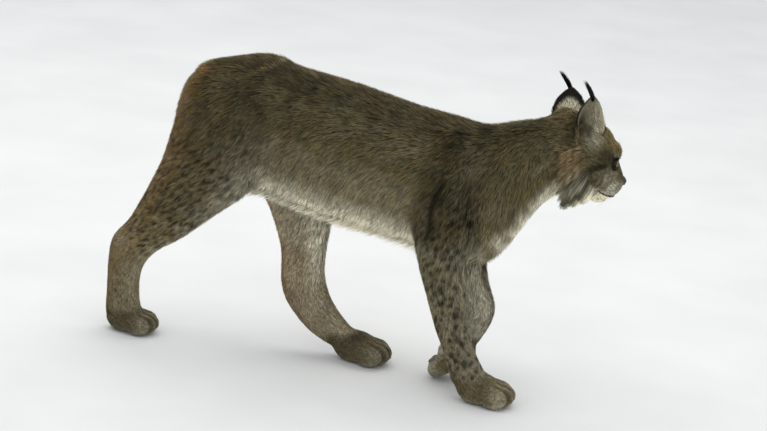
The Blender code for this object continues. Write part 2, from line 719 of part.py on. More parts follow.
def fringe_locks(surface, chance):
    """The belly fringe: rows of locks that lie back along the underside."""
    locks = []
    for side, start, end in FRINGE_ROWS:
        count = round((end - start) / FRINGE_STEP)
        for k in range(count):
            step = (k + 0.5 + chance.uniform(-0.2, 0.2)) / count
            spot = surface.ray_cast((start + (end - start) * step, side, 0.0), (0, 0, 1))
            way = np.array(FRINGE_WAY) + chance.uniform(-0.12, 0.12, 3) + (0, side * 2.0, 0)
            length = FRINGE_LENGTH * chance.uniform(0.80, 1.15)
            locks.append(lock_on(spot, way, length, FRINGE_HALF_WIDTH, 0.004, 5))
    return locks


def swollen(made, name, by):
    """A copy of a closed mesh, pushed out along its normals."""
    twin = copy_of(made, name)
    points = np.array([v.co + v.normal * by for v in twin.data.vertices])
    twin.data.vertices.foreach_set("co", points.ravel())
    twin.data.update()
    return twin


def head_parts():
    """The head with its face, ruff and eyes, and the ears that stand on it."""
    place = turned(HEAD_CENTRE, HEAD_YAW, HEAD_NOD, HEAD_TIP, HEAD_SCALE)
    head = skull_form(place)
    cutters, eyes, ruffs = [mouth_cutter()], [], []
    plain = copy_of(head, "plain_head")
    plain.data.transform(place.inverted())
    surface = surface_of(plain)
    bpy.data.objects.remove(plain)
    chance = np.random.default_rng(7)
    for name, side in (("eye_left", LEFT), ("eye_right", RIGHT)):
        centre = mirrored(EYE, side)
        eyes.append(ellipsoid(name, centre, (EYE_RADIUS,) * 3, turned((0, 0, 0), 0, 90), 16))
        cutters.append(ellipsoid("socket", centre, (EYE_RADIUS + GAP,) * 3, turned((0, 0, 0), 0, 90), 16))
        cutters.append(lid_opening(side))
        nostril, radii = NOSTRIL
        cutters.append(ellipsoid("nostril", mirrored(nostril, side), radii, segments=12))
        ruffs += ruff_locks(surface, side, chance)
    for piece in (*cutters, *eyes, *ruffs):
        piece.data.transform(place)
    largest_shell(boolean(head, "UNION", ruffs))
    ears = []
    for name, side in (("ear_left", LEFT), ("ear_right", RIGHT)):
        ear = ear_form(name, side)
        ear.data.transform(place)
        ears.append(largest_shell(boolean(ear, "DIFFERENCE", [swollen(head, "under_ear", GAP)])))
    boolean(head, "DIFFERENCE", cutters)
    kept_inside(head, head_side("keep", -GAP / 2))
    return [head, *ears, *eyes]


def painted(nodes):
    """Gives each node a material of its own, by the first word of its name."""
    for node in nodes:
        slot, colour, roughness = MATERIALS[node.name.split("_")[0]]
        node.data.materials.clear()
        node.data.materials.append(material(f"{slot}_{node.name}", colour, roughness))


def over_origin(nodes):
    """Shifts everything so that the middle of the model stands over the origin."""
    points = np.array([v.co for node in nodes for v in node.data.vertices])
    low, high = points.min(axis=0), points.max(axis=0)
    shift = -(low + high) / 2
    for node in nodes:
        node.data.transform(Matrix.Translation((shift[0], shift[1], -low[2])))


def main():
    clear_scene()
    nodes = [*parted_body(), *parted_paws(), *head_parts()]
    over_origin(nodes)
    painted(nodes)


main()
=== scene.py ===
"""A life-size Eurasian lynx in its winter coat: skin, coat, face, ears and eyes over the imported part.

Shapes are worked out in the design frame, where the lynx faces +X over the floor z = 0, and are
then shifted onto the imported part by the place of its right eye. The head has a frame of its own,
with +X to the nose. The coat is made of tufts: small leaf-shaped blades that lie over the skin.
"""

import math
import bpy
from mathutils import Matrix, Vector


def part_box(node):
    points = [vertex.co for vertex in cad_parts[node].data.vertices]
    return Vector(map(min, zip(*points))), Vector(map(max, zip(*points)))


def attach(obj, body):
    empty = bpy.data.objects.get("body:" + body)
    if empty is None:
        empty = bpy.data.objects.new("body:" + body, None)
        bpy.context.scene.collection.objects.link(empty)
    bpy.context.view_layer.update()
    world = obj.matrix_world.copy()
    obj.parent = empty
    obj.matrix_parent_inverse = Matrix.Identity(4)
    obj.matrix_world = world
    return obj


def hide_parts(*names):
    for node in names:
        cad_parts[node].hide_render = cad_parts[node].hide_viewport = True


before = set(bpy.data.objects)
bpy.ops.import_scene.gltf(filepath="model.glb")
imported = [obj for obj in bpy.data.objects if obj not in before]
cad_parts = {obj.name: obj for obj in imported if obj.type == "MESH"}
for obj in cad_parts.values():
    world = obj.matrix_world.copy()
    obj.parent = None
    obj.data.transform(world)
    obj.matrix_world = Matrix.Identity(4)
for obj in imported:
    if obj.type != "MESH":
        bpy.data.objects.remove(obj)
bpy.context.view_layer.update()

from types import SimpleNamespace

import bmesh
import bpy
import numpy as np
from mathutils import Matrix
from mathutils.bvhtree import BVHTree
from mathutils.kdtree import KDTree

LEFT, RIGHT = 1, -1
SIDE_NAMES = {LEFT: "left", RIGHT: "right"}
BODY_VOXEL, HEAD_VOXEL = 0.0054, 0.00186
# The sides of a form's rings, and the widest reach of a form's sample along it, in steps.
SIDES, STEP_REACH = 28, 1.15
# How wide a tuft's patch is on the map, and how far the map's edges are kept free.
PATCH, MAP_EDGE = 0.003, 0.004
# How deep the roots of tufts and of long hairs stand in the skin.
ROOT_DEPTH, HAIR_DEPTH = 0.0008, 0.001
# No tuft grows below the first height, no tip lies below the second, no skin below the third.
SOLE, TIP_FLOOR, SKIN_FLOOR = 0.0035, 0.0006, 0.0010
# The strand values of bare skin under the fur: halfway along, with neither chance.
STILL = (0.5, 0.5, 0.5, 1.0)


# ---- Forms of the body -------------------------------------------------------------------
# Stations: one outline point, the opposite one, the side offset, half width and heading.
TRUNK = (
    (-0.472, 0.610, -0.424, 0.540, 0.000, 0.046, 0),
    (-0.462, 0.640, -0.412, 0.480, 0.000, 0.076, 0),
    (-0.405, 0.664, -0.398, 0.415, 0.000, 0.092, 0),
    (-0.295, 0.691, -0.300, 0.378, 0.000, 0.099, 0),
    (-0.232, 0.673, -0.245, 0.369, 0.000, 0.097, 0),
    (-0.089, 0.655, -0.090, 0.339, 0.000, 0.105, 0),
    (0.051, 0.629, 0.055, 0.325, 0.000, 0.106, 0),
    (0.145, 0.620, 0.190, 0.301, 0.000, 0.101, 0),
    (0.205, 0.612, 0.262, 0.316, 0.000, 0.092, 3),
    (0.262, 0.625, 0.313, 0.385, 0.010, 0.082, 10),
    (0.312, 0.637, 0.343, 0.440, 0.028, 0.076, 20),
    (0.350, 0.643, 0.372, 0.470, 0.054, 0.073, 30),
    (0.392, 0.632, 0.404, 0.492, 0.080, 0.064, 30),
    (0.430, 0.595, 0.434, 0.525, 0.100, 0.030, 30),
)
TAIL = (
    (-0.440, 0.640, -0.420, 0.590, 0.002, 0.028, 0),
    (-0.491, 0.602, -0.440, 0.568, 0.006, 0.029, 0),
    (-0.516, 0.535, -0.464, 0.528, 0.015, 0.028, 0),
    (-0.520, 0.480, -0.467, 0.478, 0.022, 0.028, 0),
    (-0.514, 0.440, -0.470, 0.438, 0.026, 0.024, 0),
    (-0.502, 0.422, -0.480, 0.422, 0.028, 0.012, 0),
)
HIND_RIGHT = (
    (-0.430, 0.640, -0.300, 0.655, -0.045, 0.012, 0),
    (-0.468, 0.605, -0.268, 0.625, -0.055, 0.036, 0),
    (-0.483, 0.550, -0.258, 0.560, -0.063, 0.049, 0),
    (-0.494, 0.485, -0.260, 0.475, -0.068, 0.054, 0),
    (-0.511, 0.420, -0.290, 0.388, -0.070, 0.050, 0),
    (-0.551, 0.332, -0.371, 0.314, -0.065, 0.040, 0),
    (-0.585, 0.268, -0.455, 0.240, -0.060, 0.033, 0),
    (-0.622, 0.222, -0.508, 0.204, -0.057, 0.028, 0),
    (-0.631, 0.165, -0.543, 0.158, -0.055, 0.025, 0),
    (-0.630, 0.105, -0.549, 0.105, -0.055, 0.024, 0),
    (-0.629, 0.040, -0.540, 0.048, -0.055, 0.027, 0),
)
HIND_LEFT = (
    (-0.410, 0.635, -0.285, 0.655, 0.045, 0.012, 0),
    (-0.452, 0.600, -0.245, 0.620, 0.055, 0.036, 0),
    (-0.440, 0.535, -0.220, 0.560, 0.063, 0.048, 0),
    (-0.390, 0.455, -0.180, 0.490, 0.068, 0.052, 0),
    (-0.322, 0.365, -0.140, 0.385, 0.066, 0.046, 0),
    (-0.279, 0.295, -0.139, 0.300, 0.060, 0.038, 0),
    (-0.252, 0.225, -0.143, 0.235, 0.055, 0.031, 0),
    (-0.247, 0.158, -0.140, 0.185, 0.052, 0.027, 0),
    (-0.228, 0.108, -0.122, 0.138, 0.050, 0.025, 0),
    (-0.172, 0.053, -0.092, 0.100, 0.048, 0.025, 0),
    (-0.116, 0.026, -0.050, 0.062, 0.047, 0.026, 0),
)
FORE_RIGHT = (
    (0.120, 0.600, 0.190, 0.602, -0.045, 0.010, 0),
    (0.100, 0.560, 0.220, 0.562, -0.056, 0.034, 0),
    (0.088, 0.515, 0.238, 0.515, -0.064, 0.045, 0),
    (0.082, 0.470, 0.245, 0.470, -0.070, 0.050, 0),
    (0.086, 0.390, 0.246, 0.385, -0.075, 0.047, 0),
    (0.110, 0.300, 0.216, 0.300, -0.074, 0.037, 0),
    (0.133, 0.235, 0.230, 0.245, -0.071, 0.033, 0),
    (0.163, 0.155, 0.239, 0.168, -0.069, 0.028, 0),
    (0.190, 0.100, 0.258, 0.118, -0.068, 0.028, 0),
    (0.214, 0.035, 0.290, 0.065, -0.067, 0.031, 0),
)
FORE_LEFT = (
    (0.120, 0.600, 0.190, 0.602, 0.045, 0.010, 0),
    (0.100, 0.560, 0.220, 0.562, 0.056, 0.034, 0),
    (0.090, 0.515, 0.238, 0.515, 0.063, 0.045, 0),
    (0.090, 0.470, 0.245, 0.470, 0.068, 0.050, 0),
    (0.105, 0.390, 0.246, 0.385, 0.070, 0.046, 0),
    (0.142, 0.300, 0.232, 0.290, 0.062, 0.035, 0),
    (0.170, 0.240, 0.246, 0.232, 0.055, 0.030, 0),
    (0.198, 0.190, 0.266, 0.186, 0.050, 0.027, 0),
    (0.198, 0.160, 0.258, 0.140, 0.048, 0.026, 0),
    (0.176, 0.124, 0.229, 0.088, 0.046, 0.026, 0),
    (0.152, 0.087, 0.198, 0.055, 0.045, 0.025, 0),
    (0.140, 0.062, 0.166, 0.044, 0.045, 0.012, 0),
)
# Paws: heel, side offset, heading, how far the toes are tipped down, size.
PAWS = {
    "fore_paw_right": (0.226, 0.000, -0.067, 3, 0, 1.04),
    "fore_paw_left": (0.203, 0.112, 0.045, 0, 135, 0.97),
    "hind_paw_right": (-0.624, 0.000, -0.055, 3, 0, 0.97),
    "hind_paw_left": (-0.103, 0.000, 0.047, 0, 0, 1.07),
}
TOES = ((-0.0315, 0.088), (-0.0110, 0.100), (0.0110, 0.100), (0.0315, 0.088))

# ---- The head, in its own frame ----------------------------------------------------------
HEAD_PLACE = ((0.410, 0.083, 0.545), 32.5, 18.0, -6.0, 1.10)
SKULL = (
    (-0.096, 0.036, -0.036, 0.040),
    (-0.070, 0.064, -0.052, 0.060),
    (-0.035, 0.076, -0.060, 0.071),
    (-0.002, 0.081, -0.062, 0.073),
    (0.022, 0.0825, -0.062, 0.070),
    (0.040, 0.0735, -0.061, 0.063),
    (0.054, 0.054, -0.059, 0.053),
    (0.065, 0.039, -0.057, 0.043),
    (0.076, 0.026, -0.054, 0.036),
    (0.087, 0.014, -0.048, 0.029),
    (0.096, 0.003, -0.040, 0.021),
    (0.102, -0.007, -0.031, 0.010),
)
SWELLS = (
    ((0.073, 0.017, -0.023), (0.024, 0.021, 0.0185)),
    ((0.058, 0.000, -0.052), (0.027, 0.021, 0.017)),
    ((0.040, 0.028, 0.037), (0.027, 0.025, 0.027)),
    ((-0.008, 0.046, -0.018), (0.052, 0.033, 0.044)),
    ((0.097, 0.000, -0.010), (0.0105, 0.0150, 0.0110)),
    ((0.0520, 0.033, 0.018), (0.0155, 0.0155, 0.0150)),
    ((-0.050, 0.020, 0.050), (0.040, 0.036, 0.044)),
)
EYE = (0.0520, 0.033, 0.018)
EYE_RADIUS = 0.0125
EYE_OPENING = (0.0115, 0.0068, 0.0078)
# The corner towards the nose is longer by this factor, and the lids lie this far from the middle.
EYE_INNER, LID_RADIUS = 1.08, 0.0132
# How an eye is turned outwards, up and tipped in the head, in degrees.
EYE_TURN = (27, -8, 12)
MOUTH = (
    (0.041, 0.0460, -0.0430),
    (0.053, 0.0380, -0.0455),
    (0.066, 0.0300, -0.0468),
    (0.078, 0.0240, -0.0465),
    (0.0875, 0.0165, -0.0450),
    (0.0940, 0.0080, -0.0412),
    (0.0965, 0.0000, -0.0362),
)
NOSE = (0.097, 0.0, -0.010)
NOSE_RADII = (0.0122, 0.0146, 0.0110)
EAR_BASE, EAR_TIP, EAR_TUFT = (-0.018, 0.044, 0.046), (-0.048, 0.063, 0.126), (-0.083, 0.069, 0.152)
EAR_FACES, EAR_WIDTH, EAR_CUP, EAR_BOW = 68, 0.0325, 0.022, 0.006
# The ruff from below the ear round the jaw: root, way of the hair, length.
RUFF = (
    (-0.050, 0.068, 0.018, -0.80, 0.22, -0.56, 0.030),
    (-0.044, 0.074, -0.004, -0.62, 0.24, -0.75, 0.042),
    (-0.034, 0.076, -0.024, -0.42, 0.20, -0.88, 0.054),
    (-0.018, 0.072, -0.040, -0.24, 0.14, -0.96, 0.062),
    (0.000, 0.062, -0.052, -0.32, 0.10, -0.93, 0.046),
    (0.018, 0.050, -0.060, -0.55, 0.06, -0.83, 0.030),
    (0.034, 0.036, -0.062, -0.76, 0.02, -0.64, 0.022),
)

# ---- The coat of each form, in millimetres ------------------------------------------------
# Place along the form, how deep the skin lies, how high the tips stand, tuft length, width.
COAT = {
    "trunk": ((0.0, 12, 12, 30, 1.6), (0.35, 14, 14, 31, 1.6), (0.6, 13, 14, 30, 1.6), (0.85, 15, 15, 32, 1.6),
              (1.0, 12, 12, 27, 1.4)),
    "tail": ((0.0, 11, 12, 34, 1.8), (0.8, 11, 12, 34, 1.8), (1.0, 8, 10, 28, 1.6)),
    "hind": ((0.0, 12, 13, 30, 1.7), (0.25, 11, 12, 28, 1.7), (0.45, 9, 10, 24, 1.5), (0.65, 6, 6, 18, 1.4),
             (0.8, 4.5, 4.5, 14, 1.3), (1.0, 3.5, 3.5, 11, 1.25)),
    "fore": ((0.0, 12, 13, 29, 1.6), (0.3, 11, 12, 27, 1.6), (0.5, 8, 8, 21, 1.5), (0.7, 5, 5, 15, 1.35),
             (0.9, 3.5, 3.5, 12, 1.25), (1.0, 3.2, 3.2, 10, 1.25)),
    "paw": ((0.0, 3, 3.2, 10, 1.25), (1.0, 2.5, 2.8, 8, 1.15)),
    "head": ((0.0, 11, 11, 26, 1.3), (0.25, 8, 8, 20, 1.2), (0.5, 4.5, 5, 13, 1.0), (0.68, 3, 3, 9, 0.9),
             (0.8, 2.0, 2.0, 6.5, 0.75), (1.0, 1.2, 1.2, 4.5, 0.65)),
}
COVER = {"trunk": 4.2, "tail": 4.6, "hind": 3.4, "fore": 3.4, "paw": 2.5, "head": 3.6}


# ---- Plain helpers -----------------------------------------------------------------------
def through(values, count):
    """Rows of numbers at even steps along the cubic curve whose slope at each row is half the
    difference of its neighbours."""
    rows = np.asarray(values, float)
    padded = np.vstack([2 * rows[0] - rows[1], rows, 2 * rows[-1] - rows[-2]])
    place = np.linspace(0, len(rows) - 1, count)
    start = np.minimum(place.astype(int), len(rows) - 2)
    t = (place - start)[:, None]
    before, a, b, after = (padded[start + k] for k in range(4))
    slope_a, slope_b = (b - before) / 2, (after - a) / 2
    return (
        (2 * t**3 - 3 * t**2 + 1) * a
        + (t**3 - 2 * t**2 + t) * slope_a
        + (3 * t**2 - 2 * t**3) * b
        + (t**3 - t**2) * slope_b
    )


def unit(vectors):
    return vectors / np.maximum(np.linalg.norm(vectors, axis=-1, keepdims=True), 1e-12)


def dots(a, b):
    return (a * b).sum(axis=-1)


def ease(value, start, end):
    """0 at start, 1 at end, with a smooth step between them. The start may be the higher one."""
    t = np.clip((value - start) / (end - start), 0, 1)
    return t * t * (3 - 2 * t)


def ripple(points, size, seed):
    """Soft noise from -1 to 1 with waves of about that size: a mean of eight tilted sine waves."""
    chance = np.random.default_rng(seed)
    ways = unit(chance.normal(size=(8, 3))) * chance.uniform(0.7, 1.4, (8, 1)) * 2 * math.pi / size
    return np.clip(np.sin(points @ ways.T + chance.uniform(0, 6.28, 8)).mean(axis=1) * 1.8, -1, 1)


def ripples(points, size, seed):
    """Three such noises as rows, one for each axis."""
    return np.stack([ripple(points, size, seed + k) for k in range(3)], axis=1)


def dome(value, width):
    """exp(-(value / width)^2): 1 in the middle, and little left beyond one and a half widths."""
    return np.exp(-((value / width) ** 2))


def circle(count):
    """Angles at even steps round a circle."""
    return np.linspace(0, 2 * math.pi, count, endpoint=False)


def grid_faces(rows, columns, closed=False):
    """Quads between the points of a grid, joined round its rows when they are closed."""
    r, c = np.meshgrid(np.arange(rows - 1), np.arange(columns if closed else columns - 1), indexing="ij")
    a, b = r * columns + c, r * columns + (c + 1) % columns
    return np.stack([a, b, b + columns, a + columns], axis=-1).reshape(-1, 4)


def joined(parts):
    """Surfaces, each as points and faces, as one surface."""
    points, faces, used = [], [], 0
    for some, corners in parts:
        points.append(some)
        faces.append(corners + used)
        used += len(some)
    return np.vstack(points), np.vstack(faces)


def mirrored(point, side):
    return np.array([point[0], point[1] * side, point[2]])


def one_side(points):
    """Points with both sides laid over each other, as +Y."""
    return np.column_stack([points[:, 0], np.abs(points[:, 1]), points[:, 2]])


def turned(centre, yaw, nod=0, tip=0, scale=1):
    """A frame at a point: turned to the left, nodded down and tipped, in degrees."""
    made = Matrix.Translation(centre)
    for degrees, axis in ((yaw, "Z"), (nod, "Y"), (tip, "X")):
        made = made @ Matrix.Rotation(math.radians(degrees), 4, axis)
    return made @ Matrix.Scale(scale, 4)


def placed(points, matrix):
    """Points, as rows, taken through a frame."""
    m = np.array(matrix)
    return np.asarray(points) @ m[:3, :3].T + m[:3, 3]


HEAD = turned(*HEAD_PLACE)
HEAD_BACK = HEAD.inverted()
HEAD_SCALE = HEAD_PLACE[-1]
HEAD_TURN = np.array(HEAD)[:3, :3] / HEAD_SCALE
eye_low, eye_high = (np.array(corner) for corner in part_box("eye_right"))
SHIFT = (eye_low + eye_high) / 2 - placed([mirrored(EYE, RIGHT)], HEAD)[0]


# ---- Meshes ------------------------------------------------------------------------------
def mesh_of(name, points, faces):
    """A mesh from an array of points and an array of faces of three or four corners."""
    mesh = bpy.data.meshes.new(name)
    count, corners = faces.shape
    mesh.vertices.add(len(points))
    mesh.vertices.foreach_set("co", np.asarray(points, np.float32).ravel())
    mesh.loops.add(count * corners)
    mesh.loops.foreach_set("vertex_index", faces.astype(np.int32).ravel())
    mesh.polygons.add(count)
    mesh.polygons.foreach_set("loop_start", np.arange(0, count * corners, corners, dtype=np.int32))
    mesh.polygons.foreach_set("use_smooth", np.ones(count, bool))
    mesh.update(calc_edges=True)
    return mesh


def object_of(name, mesh):
    made = bpy.data.objects.new(name, mesh)
    bpy.context.scene.collection.objects.link(made)
    return made


def face_out(mesh):
    """Turns the faces of closed surfaces outwards."""
    shape = bmesh.new()
    shape.from_mesh(mesh)
    bmesh.ops.recalc_face_normals(shape, faces=shape.faces)
    shape.to_mesh(mesh)
    shape.free()


def piece(name, points, faces, finish, slot, values=None, normals=None, patches=None, closed=False):
    """A finished piece: design points shifted onto the part, with its values for the shader, its
    own normals where given, and its map for the bake."""
    made = object_of(name, mesh_of(name, np.asarray(points) + SHIFT, faces))
    mesh = made.data
    if closed:
        face_out(mesh)
    for label, rows in (values or {}).items():
        rows = np.asarray(rows, np.float32).ravel()
        mesh.attributes.new(label, "FLOAT_COLOR", "POINT").data.foreach_set("color", rows)
    if patches is not None:
        rows = np.asarray(patches, np.float32)[faces.ravel()].ravel()
        mesh.uv_layers.new(name="OFBake").data.foreach_set("uv", rows)
    if normals is not None:
        mesh.normals_split_custom_set_from_vertices(normals.tolist())
    mesh.materials.append(finish)
    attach(made, "root")
    return made


def read_all(items, name, size, kind):
    """One property of all of a mesh's points, triangles or edges, in rows of that size."""
    rows = np.zeros(len(items) * size, kind)
    items.foreach_get(name, rows)
    return rows.reshape(-1, size)


def mesh_arrays(mesh):
    """The points, triangles and edges of a mesh."""
    mesh.calc_loop_triangles()
    return (
        read_all(mesh.vertices, "co", 3, np.float32).astype(float),
        read_all(mesh.loop_triangles, "vertices", 3, np.int32),
        read_all(mesh.edges, "vertices", 2, np.int32),
    )


def settle(made):
    """Applies an object's modifiers."""
    graph = bpy.context.evaluated_depsgraph_get()
    mesh = bpy.data.meshes.new_from_object(made.evaluated_get(graph))
    made.modifiers.clear()
    made.data = mesh


def melted(name, solids, voxel, rounds):
    """Closed forms as one smooth surface: a voxel remesh, then smoothing."""
    made = object_of(name, mesh_of(name, *joined(solids)))
    remesh = made.modifiers.new("Melt", "REMESH")
    remesh.mode, remesh.voxel_size = "VOXEL", voxel
    smooth = made.modifiers.new("Smooth", "SMOOTH")
    smooth.factor, smooth.iterations = 0.5, rounds
    settle(made)
    return made


# ---- Closed forms ------------------------------------------------------------------------
def capped(rings):
    """A closed tube through rings of points, (ring, side, 3), with its ends drawn to their middles."""
    ends = [end * 1e-4 + end.mean(axis=1, keepdims=True) * (1 - 1e-4) for end in (rings[:1], rings[-1:])]
    rings = np.concatenate([ends[0], rings, ends[1]])
    return rings.reshape(-1, 3), grid_faces(len(rings), rings.shape[1], closed=True)


def station_frames(stations, count):
    """The middle, the upright half and the sideways half of the ellipse at each step of a form."""
    ax, az, bx, bz, y, width, yaw = through(stations, count).T
    heading = np.radians(yaw)
    lean, half = (ax - bx) / 2, (az - bz) / 2
    centre = np.stack([(ax + bx) / 2, y, (az + bz) / 2], axis=1)
    upright = np.stack([lean * np.cos(heading), lean * np.sin(heading), half], axis=1)
    side = np.stack([-np.sin(heading), np.cos(heading), 0 * heading], axis=1) * width[:, None]
    return centre, upright, side


def loft(stations, rings=40):
    """Ellipses at the stations: middle + upright cos t + side sin t."""
    centre, upright, side = station_frames(stations, rings)
    t = circle(SIDES)[None, :, None]
    return capped(centre[:, None] + upright[:, None] * np.cos(t) + side[:, None] * np.sin(t))


def globe(angle, sides):
    """Rings of a unit sphere, each at an angle from +X: (cos a, sin a cos b, sin a sin b)."""
    a, b = angle[:, None], circle(sides)[None]
    return np.stack([np.cos(a) + 0 * b, np.sin(a) * np.cos(b), np.sin(a) * np.sin(b)], axis=-1)


def ellipsoid(centre, radii, matrix, rows=14, sides=24):
    """A sphere stretched to three radii, in a frame."""
    points, faces = capped(globe(np.linspace(0, math.pi, rows)[1:-1], sides) * radii + np.array(centre))
    for ring, reach in ((slice(0, sides), radii[0]), (slice(-sides, None), -radii[0])):
        points[ring] = points[ring] * 1e-3 + (np.array(centre) + (reach, 0, 0)) * 0.999
    return placed(points, matrix), faces


def paw_frame(name):
    x, z, side, heading, tip, size = PAWS[name]
    return turned((x, side, z), heading, tip, 0, size)


def paw_solids(name):
    """Palm, four toes and their knuckles."""
    place = paw_frame(name)
    solids = [ellipsoid((0.048, 0, 0.031), (0.050, 0.038, 0.036), place)]
    for y, reach in TOES:
        solids.append(ellipsoid((reach, y, 0.024), (0.030, 0.0150, 0.0245), place))
        solids.append(ellipsoid((reach - 0.026, y * 0.9, 0.034), (0.026, 0.0145, 0.021), place))
    return solids


def head_solids():
    """The skull through its rings, and the swellings of the face on both sides."""
    x, top, low, width = through(SKULL, 34).T[:, :, None]
    t = circle(40)[None]
    rings = [x + 0 * t, width * np.sin(t), (top + low) / 2 + (top - low) / 2 * np.cos(t)]
    points, faces = capped(np.stack(rings, axis=-1))
    solids = [(placed(points, HEAD), faces)]
    for centre, radii in SWELLS:
        for side in (LEFT, RIGHT) if centre[1] else (LEFT,):
            solids.append(ellipsoid(mirrored(centre, side), radii, HEAD, 20, 32))
    return solids


# ---- Which form a point belongs to ---------------------------------------------------------
def form(name, kind, side, frames, lie):
    """Samples along a form, each with its frame, its place along the form and how the hair lies.
    A leg starts weak, so that the trunk keeps its own tones where the leg runs up into it."""
    centre, upright, across = frames
    step = np.gradient(centre, axis=0)
    along, t = unit(step), np.linspace(0, 1, len(centre))
    return SimpleNamespace(
        name=name, kind=kind, side=side, t=t, centre=centre,
        along=along, step=np.linalg.norm(step, axis=1) * STEP_REACH,
        up=unit(upright), up_half=np.linalg.norm(upright, axis=1),
        across=unit(across), across_half=np.linalg.norm(across, axis=1),
        power=0.03 + ease(t, 0.0, 0.22) if kind in ("hind", "fore") else 1.0,
        coat=np.array(COAT[kind]), lie=unit(lie(along, t)),
    )


def leaning(start=(0, 0, 0), end=(0, 0, 0)):
    """How the hair lies: along the form, with a lean that changes from one end to the other."""
    return lambda along, t: along + np.outer(1 - t, start) + np.outer(t, end)


def make_forms():
    """All forms with their coats. A form's along way runs from its first station to its last."""
    def backwards(along, t):
        return -along + np.array([0, 0, -0.30]) - np.outer(ease(t, 0.6, 0.8), [0, 0, 0.35])

    forms = [
        form("trunk", "trunk", 0, station_frames(TRUNK, 34), backwards),
        form("tail", "tail", 0, station_frames(TAIL, 8), leaning((0, 0, -0.2))),
    ]
    for kind, lean, rows in (("hind", -1.1, (HIND_RIGHT, HIND_LEFT)), ("fore", -0.8, (FORE_RIGHT, FORE_LEFT))):
        for side, stations in zip((RIGHT, LEFT), rows):
            frames = station_frames(stations, 18)
            forms.append(form(f"{kind}_{SIDE_NAMES[side]}", kind, side, frames, leaning((lean, 0, 0))))
    for name in PAWS:
        place = paw_frame(name)
        turn = np.array(place)[:3, :3]
        centre = placed([(x, 0, 0.029) for x in (0.015, 0.050, 0.085, 0.115)], place)
        frames = (centre, np.tile(turn @ (0, 0, 0.034), (4, 1)), np.tile(turn @ (0, 0.043, 0), (4, 1)))
        side = LEFT if name.endswith("left") else RIGHT
        forms.append(form(name, "paw", side, frames, leaning(-0.3 * turn[:, 2], -0.5 * turn[:, 2])))
    x, top, low, width = through(SKULL, 16).T
    centre = placed(np.stack([x, 0 * x, (top + low) / 2], axis=1), HEAD)
    up = np.outer(top - low, HEAD_TURN[:, 2]) / 2 * HEAD_SCALE
    across = np.outer(width, HEAD_TURN[:, 1]) * HEAD_SCALE
    forms.append(form("head", "head", 0, (centre, up, across), leaning()))
    return forms


FORMS = make_forms()


def read_forms(points):
    """Each form's share in each point, its place along the form, how high and how far to the left
    the point is in the form's section, and how the hair lies. A share falls with the tenth power
    of the distance from the form's middle line, measured in its own half widths."""
    points = np.asarray(points, np.float32)
    found = []
    for some in FORMS:
        parts = []
        ways = (some.along, some.step), (some.up, some.up_half), (some.across, some.across_half)
        for chunk in np.array_split(points, max(1, len(points) // 20000)):
            a, u, s = (((chunk @ way.T - dots(some.centre, way)) / half).astype(np.float32) for way, half in ways)
            weight = (a * a + u * u + s * s + 1e-3) ** -5.0 * some.power
            total = weight.sum(axis=1)
            share = weight / total[:, None]
            t = (share * (some.t + a * STEP_REACH * some.t[1])).sum(axis=1)
            rows = [total, np.clip(t, 0, 1), (share * u).sum(1), (share * s).sum(1), share @ some.lie]
            parts.append(np.column_stack(rows))
        found.append(np.vstack(parts))
    found = np.array(found)
    found[:, :, 0] /= found[:, :, 0].sum(axis=0)
    return found


def head_lie(points):
    """Over the head the hair runs away from the nose, and down over the cheeks."""
    local = placed(points, HEAD_BACK)
    away = local - np.array([0.122, 0, -0.002])
    away[:, 2] -= 0.10 * ease(local[:, 0], 0.03, -0.05) * ease(local[:, 2], 0.035, -0.02)
    away = unit(away)
    for side in (LEFT, RIGHT):
        # Round each eye the hair parts, as a stream does round a post.
        out = local - mirrored(EYE, side) - np.array([0.004, 0.006 * side, 0])
        near = 0.85 * (0.0135**2 / np.maximum(dots(out, out), 0.0135**2))[:, None]
        out = unit(out)
        away = away * (1 + near) - 2 * near * dots(away, out)[:, None] * out
    return unit(away) @ HEAD_TURN.T


def coat_fields(points, found):
    """Skin depth, tip height, tuft length and width in metres, the cover and the lie."""
    fields = np.zeros((len(points), 5))
    lie = np.zeros((len(points), 3))
    for some, rows in zip(FORMS, found):
        share = rows[:, 0]
        for k in range(4):
            fields[:, k] += share * np.interp(rows[:, 1], some.coat[:, 0], some.coat[:, k + 1]) / 1000
        fields[:, 4] += share * COVER[some.kind]
        way = head_lie(points) if some.kind == "head" else rows[:, 4:7]
        if some.kind == "trunk":
            fall = 0.85 * ease(rows[:, 2], 0.75, 0.0) + 0.65 * ease(rows[:, 2], 0.1, -0.5)
            way = unit(way + np.outer(fall * ease(rows[:, 1], 0.85, 0.65), (0.15, 0, -1)))
        lie += share[:, None] * way
    return fields, unit(lie)


